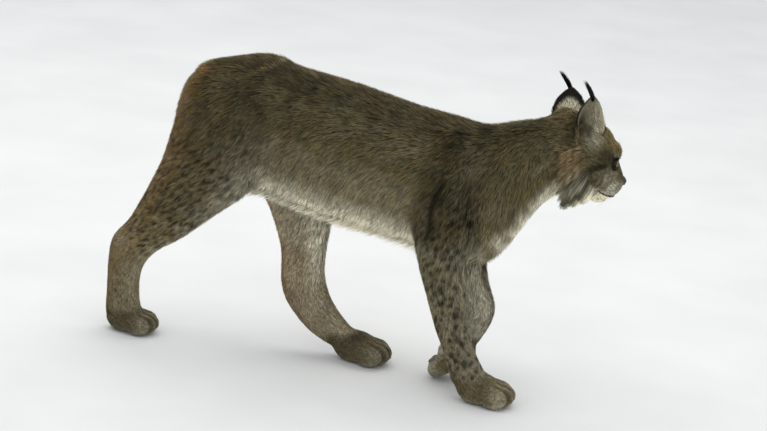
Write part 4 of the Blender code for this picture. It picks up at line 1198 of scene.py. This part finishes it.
def dress(skin, finish):
    """The short coat over the whole skin, in pieces by form, side and place along the form."""
    chance = np.random.default_rng(5)
    points, outs, fields, lie = scatter(skin, chance)
    count = len(points)
    found = read_forms(points)
    trunk = found[0]
    belly = trunk[:, 0] * ease(trunk[:, 2], -0.55, -0.95) * ease(trunk[:, 1], 0.70, 0.55)
    length = fields[:, 2] * (1 + 0.30 * belly) * chance.uniform(0.72, 1.18, count)
    width = fields[:, 3] * chance.uniform(0.75, 1.25, count)
    lie = lie + 0.20 * ripples(points, 0.038, 20) + chance.normal(0, 0.15, (count, 3))
    lie = unit(lie - outs * dots(lie, outs)[:, None])
    for side in (LEFT, RIGHT):
        eye = np.linalg.norm(points - placed([mirrored(EYE, side)], HEAD)[0], axis=1)
        length = length * (0.50 + 0.50 * ease(eye, 0.015, 0.030))
    height = np.minimum(fields[:, 1] + 0.013 * belly, length * 0.75)
    tips = points + lie * np.sqrt(length**2 - height**2)[:, None] + outs * height[:, None]
    # Long fur gathers in larger clumps than short fur, and the numbers of both are kept apart.
    long_fur = fields[:, 2] > 0.020
    tips_long, clump_long = gathered(points, tips, 0.0075, 0.40, 30)
    tips_short, clump_short = gathered(points, tips, 0.0045, 0.30, 40)
    tips = np.where(long_fur[:, None], tips_long, tips_short)
    clump = np.where(long_fur, clump_long, clump_short + 500000)
    # From here on each clump has a number from 0 to 1, as if drawn by chance.
    clump = np.modf(np.abs(np.sin(clump * 12.9898) * 43758.5453))[0]
    spot, out = nearest(skin.tree, tips)
    out = unit(out + outs * 0.35)
    tips = spot + out * (height * chance.uniform(0.75, 1.12, count))[:, None]
    tips[:, 2] = np.maximum(tips[:, 2], TIP_FLOOR)
    seen = points + (tips - points) * 0.6
    marks = coat_tones(seen, read_forms(seen))
    middle = points + (tips - points) * 0.45
    spots = np.column_stack([spots_at(middle, lie, outs, skin.spots), spots_at(tips, lie, out, skin.spots)])
    ticked = 1 - 0.6 * found[-1][:, 0]
    flecks = 0.26 * (clump > 0.74) + 0.18 * (chance.uniform(0, 1, count) > 0.78)
    marks[:, 2] += ticked * flecks * (1 - 0.6 * marks[:, 1])
    marks[:, 1] += ticked * 0.12 * ((clump < 0.22) & (marks[:, 3] > 0.22))
    marks[:, 0] += 0.36 * (np.modf(clump * 61)[0] - 0.5) + chance.normal(0, 0.07, count)
    marks = np.clip(marks, 0, 1)
    owner = found[:, :, 0].argmax(axis=0)
    luck = np.column_stack([chance.uniform(0, 1, count), clump])
    sunk = points - outs * ROOT_DEPTH
    for k, (some, rows) in enumerate(zip(FORMS, found)):
        slot = {"head": "face_coat", "tail": "tail_coat", "trunk": "coat"}.get(some.kind, "leg_coat")
        for name, chosen in cuts_of(some, owner == k, rows, points):
            made = blades(sunk[chosen], tips[chosen], outs[chosen], out[chosen], lie[chosen], width[chosen])
            each, dark = (np.repeat(values[chosen], made.per, axis=0) for values in (marks, spots))
            each[:, 2] = spotted(each, np.where(made.along > 0.7, dark[:, 1], dark[:, 0]))
            patch = unwrapped(rows[chosen, 1], np.arctan2(rows[chosen, 3], rows[chosen, 2]))
            hair_piece(name, [(made, each, luck[chosen], patch)], finish, slot)


# ---- Long hair ---------------------------------------------------------------------------
def long_hair(name, roots, tips, outs, tip_outs, widths, marks, patch, finish, slot, bends, arch, seed, tip_dark):
    """Long hairs from roots to tips, in blades with several bends. The tips may turn dark."""
    roots = roots - outs * HAIR_DEPTH
    made = blades(roots, tips, outs, tip_outs, unit(tips - roots), widths, bends, arch)
    marks = np.repeat(marks, made.per, axis=0)
    marks[:, 2] = np.maximum(marks[:, 2], np.repeat(tip_dark, made.per) * ease(made.along, 0.55, 0.95))
    luck = np.random.default_rng(seed).uniform(0, 1, (2, len(roots))).T
    hair_piece(name, [(made, marks, luck, patch)], finish, slot)


def ruff(skin, side, finish):
    """The cheek ruff of one side: hairs along the jaw in three layers, drawn together into locks.
    A tip lies at root + length times (a quarter along the skin and three quarters along its way)."""
    chance = np.random.default_rng(50 + side)
    count, locks = 3400, 13
    place = chance.uniform(0, 1, count)
    layer = chance.integers(0, 3, count)
    row = through(RUFF, 200)[(place * 199).astype(int)]
    root = row[:, :3] * (1, side, 1) + np.outer(layer, (0.009, 0, 0.007))
    root += chance.normal(0, 0.0030, (count, 3))
    way = unit(row[:, 3:6] * (1, side, 1) + chance.normal(0, 0.07, (count, 3)))
    spot, out = nearest(skin.tree, placed(root, HEAD))
    way = way @ HEAD_TURN.T
    low = unit(way - out * dots(way, out)[:, None])
    length = row[:, 6] * chance.uniform(0.72, 1.10, count) * HEAD_SCALE
    length = length * np.array([1.0, 0.86, 0.72])[layer] + 0.006
    tip = spot + (low * 0.25 + way * 0.75) * length[:, None] + out * (0.010 + 0.08 * length)[:, None]
    lock = np.clip((place * locks + 0.33 * layer).astype(int), 0, locks) * 3 + layer
    means = group_means(lock, np.column_stack([tip, length]))
    tip += (means[:, :3] - tip) * (0.55 * np.clip(length / means[:, 3], 0.5, 1.1))[:, None]
    stripe = np.maximum(ease(np.abs(place - 0.50), 0.045, 0.022), 0.8 * ease(np.abs(place - 0.36), 0.036, 0.018))
    front = ease(place, 0.52, 0.72)
    luck = np.random.default_rng(5).uniform(0, 1, lock.max() + 1)[lock]
    marks = np.column_stack([
        0.75 * ease(place, 0.50, 0.20),
        0.10 + 0.34 * ease(place, 0.20, 0.42) + 0.50 * front,
        np.maximum(0.80 * stripe, 0.35 * (luck > 0.82) * (1 - front)),
        0.46 + 0.10 * ease(place, 0.22, 0.42) + 0.30 * front,
    ])
    marks = np.clip(marks + chance.normal(0, 0.03, (count, 4)), 0, 1)
    marks[:, 0] = np.clip(marks[:, 0] + 0.3 * (np.modf(luck * 37)[0] - 0.5), 0, 1)
    long_hair(
        f"ruff_{SIDE_NAMES[side]}", spot, tip, out, unit(out + way * 0.3), chance.uniform(0.0011, 0.0018, count),
        marks, unwrapped(place, root[:, 0] + root[:, 2]), finish, "face_coat", bends=3, arch=0.30, seed=60,
        tip_dark=0.60 * ease(np.abs(place - 0.47), 0.10, 0.05),
    )


def fringe(skin, finish, name, count, along, below, way, sizes, pale):
    """A fringe under the trunk: pale hairs in small locks between two places along it, below a
    height in its section, in the given way and sizes."""
    chance = np.random.default_rng(70 + count)
    share, t, u = skin.found[0][:, :3].T
    under = (share > 0.55) & (u < below) & (t > along[0]) & (t < along[1])
    chosen = chance.choice(np.flatnonzero(under), count)
    out = skin.normals[chosen]
    root = skin.points[chosen] + chance.normal(0, 0.0018, (count, 3))
    way = unit(np.array(way) + chance.normal(0, 0.12, (count, 3)))
    tip = root + way * chance.uniform(*sizes, count)[:, None] + out * 0.006
    tip = gathered(root, tip, 0.015, 0.50, 71)[0]
    marks = coat_tones(root, read_forms(root))
    marks[:, 1] = np.clip(marks[:, 1] + pale, 0, 1)
    long_hair(
        name, root, tip, out, unit(out + way * 0.2), chance.uniform(0.0012, 0.0019, count), marks,
        unwrapped(root[:, 0], root[:, 1]), finish, "coat", bends=2, arch=0.20, seed=72, tip_dark=np.zeros(count),
    )


# ---- Ears --------------------------------------------------------------------------------
# How far the outer and the inner wall of an ear stand off its funnel.
OUTER_WALL, INNER_WALL = 0.0022, 0.0006


def ear_frame(side):
    """Base, tip, the way up the ear, the way its cup faces and the way across, in the head frame."""
    base, tip = mirrored(EAR_BASE, side), mirrored(EAR_TIP, side)
    axis = unit(tip - base)
    facing = np.array([math.cos(math.radians(EAR_FACES)), side * math.sin(math.radians(EAR_FACES)), 0])
    facing = unit(facing - axis * axis.dot(facing))
    return base, tip, axis, facing, np.cross(axis, facing)


def ear_at(side, v, t, extra):
    """A point of the ear's funnel: base + v (tip - base) + a bow backwards + across sin(a) (wide + extra)
    - facing ((cup + extra) cos(a) - 0.4 cup), where the angle a is t times a sweep that narrows
    from 118 to 50 degrees, and also towards the base, and the width and cup narrow to the tip."""
    base, tip, _, facing, across = ear_frame(side)
    v, t, extra = (np.asarray(k, float)[..., None] for k in np.broadcast_arrays(v, t, extra))
    up = np.clip(v, 0, 1)
    sweep = np.radians(118 - 68 * up)
    wide = EAR_WIDTH * (1 - 0.90 * up**4) / np.sin(np.minimum(sweep, math.pi / 2))
    wide = wide * (1 - 0.15 * ease(v, 0.24, -0.08) * ease(-side * t, 0.0, 0.6))
    low = ease(v, 0.28, -0.04)
    sweep = sweep * (1 - 0.38 * low * ease(-side * t, 0.0, 0.5) - 0.28 * low * ease(side * t, 0.0, 0.5))
    cup = EAR_CUP * (1 - 0.82 * up**1.3)
    a = t * sweep
    local = base + (tip - base) * v + across * side * EAR_BOW * np.sin(math.pi * up)
    local = local + across * np.sin(a) * (wide + extra) - facing * ((cup + extra) * np.cos(a) - cup * 0.4)
    return placed(local.reshape(-1, 3), HEAD).reshape(local.shape)


def ear_hollow_shade(forward, v):
    """How dark the painted shade in the depth of the ear's cup is, by how far forward and how high."""
    return dome(forward + 0.30, 0.40) * dome(v - 0.36, 0.28)


def ear_shell(side, finish):
    """The ear's skin: its inner and outer walls, joined along the rim."""
    v = np.linspace(-0.10, 1.0, 30)[:, None]
    t = np.linspace(-1, 1, 26)[None]
    points, faces = capped(np.concatenate([ear_at(side, v, t, INNER_WALL), ear_at(side, v, -t, OUTER_WALL)], axis=1))
    # The caps add a ring at each end, and each ring has both walls.
    rings, wall = v.size + 2, t.size
    high = np.clip(np.repeat(np.linspace(-0.1, 1, rings), 2 * wall), 0, 1)
    inside = np.tile(np.arange(2 * wall) < wall, rings)
    forward = -side * np.tile(np.concatenate([t[0], -t[0]]), rings)
    # Inside, the depth of the cup is dark with painted shade; the back of the ear is black.
    dark = np.where(inside, 0.98 * ear_hollow_shade(forward, high), 0.90)
    pale = np.where(inside, 0.36 - 0.28 * ease(-forward, 0.5, 0.8) * ease(high, 0.7, 0.4), 0.0)
    less = (0.36 - pale) * inside
    marks = np.column_stack([0.15 + 1.6 * less, pale, dark, 0.45 - 0.4 * less])
    values = {"marks": marks, "strand": np.tile(STILL, (len(marks), 1))}
    made = piece(f"ear_skin_{SIDE_NAMES[side]}", points, faces, finish, "ear_coat", values, closed=True)
    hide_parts(f"ear_{SIDE_NAMES[side]}")


def ear_hair(side, finish):
    """Short hair over the back of the ear and inside its rim, long pale hairs that cross the cup
    from its front edge, and the black tuft at its tip."""
    chance = np.random.default_rng(80 + side)
    _, tip, axis, facing, across = ear_frame(side)
    front = -side
    found = []

    def add(roots, tips, outs, widths, marks, patch, bends, arch):
        found.append((blades(roots, tips, outs, outs, unit(tips - roots), widths, bends, arch), marks, patch))

    def rooted(v, t, wall, spread):
        """Roots on a wall of the ear, and the ways up it with some spread."""
        root = ear_at(side, v, t, wall)
        up = unit(ear_at(side, v + 0.01, t, wall) - root)
        return root, unit(up + chance.normal(0, spread, (len(v), 3)))

    # The back, black with a grey patch, and tan along the rear edge.
    count = 4600
    v, t = chance.uniform(-0.06, 0.99, count), np.clip(chance.uniform(-1.03, 1.03, count), -1, 1)
    root, way = rooted(v, t, OUTER_WALL, 0.12)
    out = unit(root - ear_at(side, v, t, 0.0))
    length = chance.uniform(0.0060, 0.0100, count) * (1 - 0.45 * ease(v, 0.7, 1.0))
    height = 0.0014 + 0.0012 * chance.uniform(0, 1, count)
    grey = ease(np.hypot(t / 0.64, (v - 0.48) / 0.28), 1.25, 0.65)
    rear = ease(t * -front, 0.62, 0.92) * ease(v, 0.40, 0.20)
    tan_front = ease(t * front, 0.70, 0.95) * ease(v, 0.75, 0.4)
    dark = (1 - grey) * (1 - 0.8 * rear) * (1 - 0.6 * tan_front) * ease(v, -0.05, 0.15)
    marks = np.column_stack([0.75 * rear + 0.3 * tan_front, 0.84 * grey + 0.15 * rear, dark, 0.62 - 0.22 * dark])
    patch = np.column_stack([0.02 + 0.45 * (t + 1.03) / 2.06, 0.02 + 0.96 * (v + 0.06) / 1.05])
    add(root, root + way * length[:, None] + out * height[:, None], out, chance.uniform(0.0007, 0.0012, count),
        marks, patch, 1, 0.2)
    # Inside, short and grey, paler towards the edges, and dark with painted shade in the depth of the cup.
    count = 2400
    v, t = chance.uniform(0.0, 0.97, count), chance.uniform(-0.98, 0.98, count)
    root, way = rooted(v, t, INNER_WALL, 0.15)
    out = -unit(root - ear_at(side, v, t, -0.003))
    length = chance.uniform(0.004, 0.008, count)
    edge = ease(np.abs(t), 0.78, 0.96)
    rear = ease(t * -front, 0.70, 0.90) * ease(v, 0.75, 0.45)
    marks = np.column_stack([
        0.30 + 0.35 * edge + 0.25 * rear, (0.30 + 0.16 * ease(v, 0.7, 0.2) + 0.14 * edge) * (1 - 0.5 * rear),
        0.97 * ear_hollow_shade(t * front, v) + 0.25 * ease(v, 0.78, 0.95), 0.54 + 0.10 * edge,
    ])
    add(root, root + way * length[:, None] + out * 0.0014, out, chance.uniform(0.0006, 0.0010, count),
        marks, np.column_stack([0.52 + 0.22 * (t + 1) / 2, 0.02 + 0.96 * v]), 1, 0.2)
    # Long pale hairs from the front edge over the cup.
    count = 1300
    v = 0.85 * chance.uniform(0, 1, count) ** 1.7 - 0.05
    edge = front * chance.uniform(0.50, 1.0, count)
    root = ear_at(side, v, edge, 0.0008)
    out = np.tile(facing @ HEAD_TURN.T, (count, 1))
    back = across @ HEAD_TURN.T * -front * chance.uniform(0.15, 0.60, (count, 1))
    way = unit(axis @ HEAD_TURN.T * 0.85 + back + chance.normal(0, 0.10, (count, 3)))
    length = chance.uniform(0.012, 0.025, count) * (1 - 0.5 * ease(v, 0.4, 0.75))
    pale = 0.45 + 0.50 * chance.uniform(0, 1, count)
    marks = np.column_stack([0.30 + 0 * v, pale, 0.1 * ease(v, 0.3, 0.7), 0.66 + 0 * v])
    add(root, root + way * length[:, None] + out * 0.0035, out, chance.uniform(0.0005, 0.0008, count),
        marks, np.column_stack([0.76 + 0.10 * (edge + 1) / 2, 0.02 + 0.96 * v]), 2, 0.35)
    # The tuft: black hairs from the last of the ear, curving over to its end.
    count = 300
    fan = chance.normal(0, 0.0021, (count, 2))
    length = chance.uniform(0.45, 1.02, count) ** 0.8
    start = tip - axis * chance.uniform(0.0, 0.009, (count, 1))
    start = start + across * fan[:, :1] * 0.8 + facing * (fan[:, 1:] * 0.5 - 0.001)
    run = mirrored(EAR_TUFT, side) - tip
    end = tip + run * length[:, None] + across * fan[:, :1] * 1.1 + facing * fan[:, 1:]
    bend = unit(axis - unit(run) * axis.dot(unit(run)))
    out = np.tile(bend @ HEAD_TURN.T, (count, 1))
    widths = chance.uniform(0.0007, 0.0011, count)
    patch = np.column_stack([0.90 + 0.08 * length, 0.1 + 0.8 * chance.uniform(0, 1, count)])
    add(placed(start, HEAD), placed(end, HEAD), out, widths, np.tile([0.0, 0.0, 1.0, 0.42], (count, 1)), patch, 3, 0.16)
    groups = [
        (made, np.repeat(marks, made.per, axis=0), chance.uniform(0, 1, (len(marks), 2)), patch)
        for made, marks, patch in found
    ]
    hair_piece(f"ear_hair_{SIDE_NAMES[side]}", groups, finish, "ear_coat")


# ---- Eyes, nose, lips and whiskers -------------------------------------------------------
def tube(path, radii, outward, sides=8, closed=False):
    """A round rod along a path: path + radius (outward cos b + sideways sin b)."""
    along = np.roll(path, -1, axis=0) - np.roll(path, 1, axis=0) if closed else np.gradient(path, axis=0)
    along = unit(along)
    out = unit(outward - along * dots(outward, along)[:, None])
    b = circle(sides)[None, :, None]
    ring = out[:, None] * np.cos(b) + np.cross(along, out)[:, None] * np.sin(b)
    rings = path[:, None] + np.asarray(radii)[..., None, None] * ring
    if not closed:
        return capped(rings)
    return rings.reshape(-1, 3), grid_faces(len(rings) + 1, sides, closed=True) % (len(rings) * sides)


def eyeball(side, finish):
    """A sphere with a slight bulge in front: radius (1 + 0.055 exp(-(angle / 0.55)^2))."""
    angle = np.linspace(0, math.pi, 44)[1:-1]
    radius = EYE_RADIUS * (1 + 0.055 * dome(angle, 0.55))
    local, faces = capped(globe(angle, 48) * radius[:, None, None])
    off = np.arccos(np.clip(local[:, 0] / np.linalg.norm(local, axis=1), -1, 1))
    spin = np.arctan2(local[:, 2], local[:, 1])
    gaze = np.column_stack([off / 1.6, 0.5 + 0.5 * np.cos(spin), 0.5 + 0.5 * np.sin(spin), np.ones(len(off))])
    points = placed(local, eye_frame(side))
    made = piece(f"eyeball_{SIDE_NAMES[side]}", points, faces, finish, "eye", {"gaze": gaze}, closed=True)
    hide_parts(f"eye_{SIDE_NAMES[side]}")


def lid_path(side):
    """The edge of the lids: an almond on a sphere round the eye, in the eye's frame. Its corner
    towards the nose is longer and lower."""
    a = circle(64)
    inward = EYE_OPENING[0] * np.cos(a) * np.where(np.cos(a) > 0, EYE_INNER, 1.0)
    z = np.where(a < math.pi, EYE_OPENING[1], EYE_OPENING[2]) * np.sin(a) * np.abs(np.sin(a)) ** 0.25
    z = z + lid_drop(inward)
    return np.stack([np.sqrt(np.maximum(LID_RADIUS**2 - inward**2 - z**2, 1e-8)), -side * inward, z], axis=1)


def lids(side, finish):
    """The dark edges of both lids, in one closed ring, a little thicker above."""
    path = lid_path(side)
    thick = 0.00075 + 0.00040 * ease(path[:, 2], -0.002, 0.006)
    points, faces = tube(path, thick, unit(path), 10, closed=True)
    piece(f"lids_{SIDE_NAMES[side]}", placed(points, eye_frame(side)), faces, finish, "face_coat", closed=True)


def nose_leather(finish):
    """The bare nose: a rounded pad, with a hollow and a side slit at each nostril and a groove."""
    shape = globe(np.linspace(0, math.radians(112), 40)[1:], 72) * NOSE_RADII
    z = shape[..., 2]
    w = np.abs(shape[..., 1])
    narrow = 1 - 0.30 * ease(z, -0.001, -0.010)
    hollow = 0.0034 * dome(w - 0.0066, 0.0026) * dome(z + 0.0012 + 0.25 * (w - 0.0066), 0.0020)
    slit = 0.0020 * dome(w - 0.0098, 0.0022) * dome(z + 0.0030 - 0.4 * (w - 0.0098), 0.0011)
    groove = 0.0010 * dome(w, 0.0010) * ease(z, 0.000, -0.003)
    rim = -0.0006 * dome(np.hypot(w - 0.0068, z + 0.001) - 0.0042, 0.0012)
    shape = shape * (1 - (hollow + slit + groove + rim) / np.linalg.norm(shape, axis=-1))[..., None]
    shape[..., 1] *= narrow
    points, faces = capped(shape + np.array(NOSE))
    piece("nose_leather", placed(points, HEAD), faces, finish, "face_coat", closed=True)


def lips(finish):
    """The dark edge of the mouth, from one corner round the front to the other, and the line that
    runs from it up to the nose."""
    half = through(MOUTH, 30)
    line = np.vstack([half[:-1], half[::-1] * (1, -1, 1)])
    x, y, _ = line.T
    out = unit(np.column_stack([0.35 + 0 * x, np.clip(y * 40, -1, 1), 0 * x]))
    front = ease(x, 0.056, 0.074) * ease(np.abs(y), 0.004, 0.012)
    s = np.linspace(0, 1, len(line))
    thick = (0.0015 + 0.0007 * front) * np.minimum(1, 0.30 + 8 * s * (1 - s))
    up = np.array([(0.0945, 0, -0.0362), (0.0985, 0, -0.0315), (0.1010, 0, -0.0255), (0.1020, 0, -0.0190)])
    up = through(up, 10) - (0.0012, 0, 0)
    points, faces = joined([
        tube(line - out * 0.0014, thick, out),
        tube(up, np.full(10, 0.0010), np.tile([1.0, 0, 0], (10, 1)), 6),
    ])
    piece("lips", placed(points, HEAD), faces, finish, "face_coat", closed=True)


def whiskers(skin, side, finish):
    """Whiskers in four rows on the pad of the lip, and three over the eye: thin rods that sweep
    back, out and a little down."""
    chance = np.random.default_rng(90 + side)
    places = [(r, k) for r in range(4) for k in range(4)]
    starts = [(0.086 - 0.0075 * k - 0.002 * (r % 2), 0.026 + 0.0022 * k, -0.016 - 0.0062 * r) for r, k in places]
    ways = [(-0.62 + 0.10 * k, 0.66 - 0.05 * k, -0.10 - 0.12 * r) for r, k in places]
    sizes = [0.030 + 0.0065 * k + 0.002 * r for r, k in places]
    starts += [(0.050, 0.028 + 0.004 * k, 0.046 - 0.002 * k) for k in range(3)]
    ways += [(-0.45, 0.25 + 0.1 * k, 0.75) for k in range(3)]
    sizes += [0.026, 0.030, 0.024]
    spot, out = nearest(skin.tree, placed(np.array(starts) * (1, side, 1), HEAD))
    s = np.linspace(0, 1, 12)[:, None]
    rods = []
    for root, normal, way, size in zip(spot, out, ways, sizes):
        way = unit((np.array(way) * (1, side, 1) + chance.normal(0, 0.05, 3)) @ HEAD_TURN.T)
        bow = normal * 0.30 * s * (1 - s) + way * s + np.array([0, 0, -0.22]) * s**2
        path = root + bow * size * HEAD_SCALE - normal * HAIR_DEPTH * (1 - s)
        rods.append(tube(path, 0.00034 * (1 - 0.8 * s[:, 0]), np.tile(normal, (12, 1)), 4))
    piece(f"whiskers_{SIDE_NAMES[side]}", *joined(rods), finish, "face_coat", closed=True)


def pads(finish):
    """The soles of the raised paw: one large pad and four of the toes, flattened spheres."""
    place = paw_frame("fore_paw_left")
    solids = [ellipsoid((0.056, 0, 0.0025), (0.018, 0.021, 0.0060), place)]
    solids += [ellipsoid((reach + 0.002, y * 0.98, 0.0030), (0.0095, 0.0070, 0.0050), place) for y, reach in TOES]
    piece("pads", *joined(solids), finish, "leg_coat", closed=True)


def eye_finish():
    """Amber iris with fine rays round a round pupil, under a clear wet coat."""
    made, tree, shader = material("eye_wet", {
        "Roughness": 0.12, "Specular IOR Level": 0.03, "Coat Weight": 0.60, "Coat IOR": 1.33, "Coat Roughness": 0.02,
    })
    gaze = node(tree, "ShaderNodeAttribute", attribute_name="gaze")["Color"]
    gaze = node(tree, "ShaderNodeSeparateColor", {0: gaze})
    depth = maths(tree, "MULTIPLY", gaze[0], 0.35)
    rays = noise(tree, node(tree, "ShaderNodeCombineXYZ", {0: gaze[1], 1: gaze[2], 2: depth})[0], 26.0, 4.0)
    off = maths(tree, "ADD", gaze[0], maths(tree, "MULTIPLY", maths(tree, "SUBTRACT", rays, 0.5), 0.05))
    iris = ramp(tree, off, (
        (0.0, (0.002, 0.002, 0.002)), (0.175, (0.002, 0.002, 0.002)), (0.195, (0.13, 0.085, 0.022)),
        (0.27, (0.25, 0.155, 0.042)), (0.39, (0.17, 0.095, 0.027)), (0.465, (0.06, 0.034, 0.013)),
        (0.495, (0.008, 0.006, 0.005)), (1.0, (0.016, 0.011, 0.009)),
    ))
    streaks = ramp(tree, rays, ((0.3, 0.55), (0.7, 1.0)))
    fill(tree, shader, {"Base Color": mixed(tree, 0.35, iris, streaks, "MULTIPLY")})
    return made


def bare_finish(name, low, high, roughness, scale, depth):
    """Bare skin such as the nose, lips and pads: two tones in fine pebbles."""
    made, tree, shader = material(name, {"Roughness": roughness})
    place = own_place(tree)
    cells = node(tree, "ShaderNodeTexVoronoi", {"Vector": place, "Scale": scale})["Distance"]
    cloud = noise(tree, place, scale * 0.15, 3.0)
    colour = ramp(tree, cloud, ((0.35, low), (0.65, high)))
    fill(tree, shader, {"Base Color": colour, "Normal": bump_of(tree, cells, depth, 0.0006)})
    return made


def cloudy_finish(name, low, high, roughness, scale, detail):
    """Two tones in soft clouds, for the whiskers, where they turn into fine streaks, and the floor."""
    made, tree, shader = material(name, {"Roughness": roughness})
    cloud = noise(tree, own_place(tree), scale, detail)
    fill(tree, shader, {"Base Color": ramp(tree, cloud, ((0.3, low), (0.7, high)))})
    return made


# ---- Stage -------------------------------------------------------------------------------
def make_stage():
    """A pale floor, a pale sky, one soft light from above and the camera of the photo."""
    corners = np.array([(-9, -9, 0), (9, -9, 0), (9, 30, 0), (-9, 30, 0)], float)
    floor = object_of("floor", mesh_of("floor", corners, np.array([[0, 1, 2, 3]])))
    floor.data.materials.append(cloudy_finish("floor", (0.74, 0.75, 0.75), (0.79, 0.80, 0.80), 0.9, 3.0, 2.0))
    world = bpy.data.worlds.new("sky")
    world.use_nodes = True
    fill(world.node_tree, world.node_tree.nodes["Background"], {0: (0.96, 0.98, 1.0, 1), 1: 0.84})
    bpy.context.scene.world = world
    lamp = bpy.data.lights.new("soft_top", "AREA")
    lamp.shape, lamp.size, lamp.size_y, lamp.energy = "RECTANGLE", 4.5, 4.5, 92
    lamp.color = (1.0, 0.97, 0.92)
    light = object_of("soft_top", lamp)
    light.matrix_world = Matrix.Translation((-0.4, 0.6, 4.0)) @ Matrix.Rotation(math.radians(-8), 4, "X")
    # The camera stands 5.6 m off, turned by a, above the floor by e and rolled by r.
    a, e, r, distance = math.radians(17.0), math.radians(16.0), math.radians(5.5), 5.6
    back = np.array([math.sin(a) * math.cos(e), -math.cos(a) * math.cos(e), math.sin(e)])
    right = np.array([math.cos(a), math.sin(a), 0.0])
    up = np.cross(back, right)
    right, up = right * math.cos(r) + up * math.sin(r), -right * math.sin(r) + up * math.cos(r)
    place = Matrix(np.column_stack([right, up, back]).tolist()).to_4x4()
    place.translation = np.array([0, 0, 0.365]) + SHIFT + back * distance
    # A focal length of 2520 pixels for a picture 767 wide.
    lens = bpy.data.cameras.new("camera")
    lens.sensor_width = 36
    lens.lens = 36 * 2520 / 767
    lens.clip_end = 100
    camera = object_of("camera", lens)
    camera.matrix_world = place
    bpy.context.scene.camera = camera
    bpy.context.scene.view_settings.view_transform = "Standard"


def main():
    group = tone_group()
    fur, bare_fur = fur_finish("fur", group, 0.95, False), fur_finish("skin_fur", group, 0.3, True)
    skin = make_skin()
    skin.spots = spot_table(skin)
    marks = coat_tones(skin.points, skin.found)
    marks[:, 2] = spotted(marks, spots_at(skin.points, skin.lie, skin.normals, skin.spots))
    values = {"marks": marks, "strand": np.tile(STILL, (len(marks), 1))}
    cover = piece("skin", skin.points, skin.triangles, bare_fur, "coat", values)
    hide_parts(*[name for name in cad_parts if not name.startswith(("ear_", "eye_"))])
    print("skin", len(skin.triangles), "triangles")
    dress(skin, fur)
    dark_skin = bare_finish("dark_skin", (0.008, 0.006, 0.005), (0.018, 0.012, 0.010), 0.60, 900.0, 0.25)
    nose_skin = bare_finish("nose_skin", (0.017, 0.010, 0.008), (0.038, 0.021, 0.016), 0.40, 1300.0, 0.55)
    pad_skin = bare_finish("pad_skin", (0.085, 0.068, 0.056), (0.145, 0.120, 0.100), 0.60, 1100.0, 0.6)
    wet = eye_finish()
    pale = cloudy_finish("whisker", (0.62, 0.60, 0.55), (0.85, 0.84, 0.80), 0.35, 160.0, 1.0)
    fringe(skin, fur, "belly_fringe", 4600, (0.26, 0.62), -0.80, (-0.80, 0, -0.42), (0.034, 0.058), 0.12)
    fringe(skin, fur, "throat_fringe", 2400, (0.64, 0.88), -0.58, (-0.50, -0.05, -0.72), (0.024, 0.040), 0.10)
    for side in (LEFT, RIGHT):
        ruff(skin, side, fur)
        ear_shell(side, bare_fur)
        ear_hair(side, fur)
        eyeball(side, wet)
        lids(side, dark_skin)
        whiskers(skin, side, pale)
    nose_leather(nose_skin)
    lips(dark_skin)
    pads(pad_skin)
    make_stage()


main()
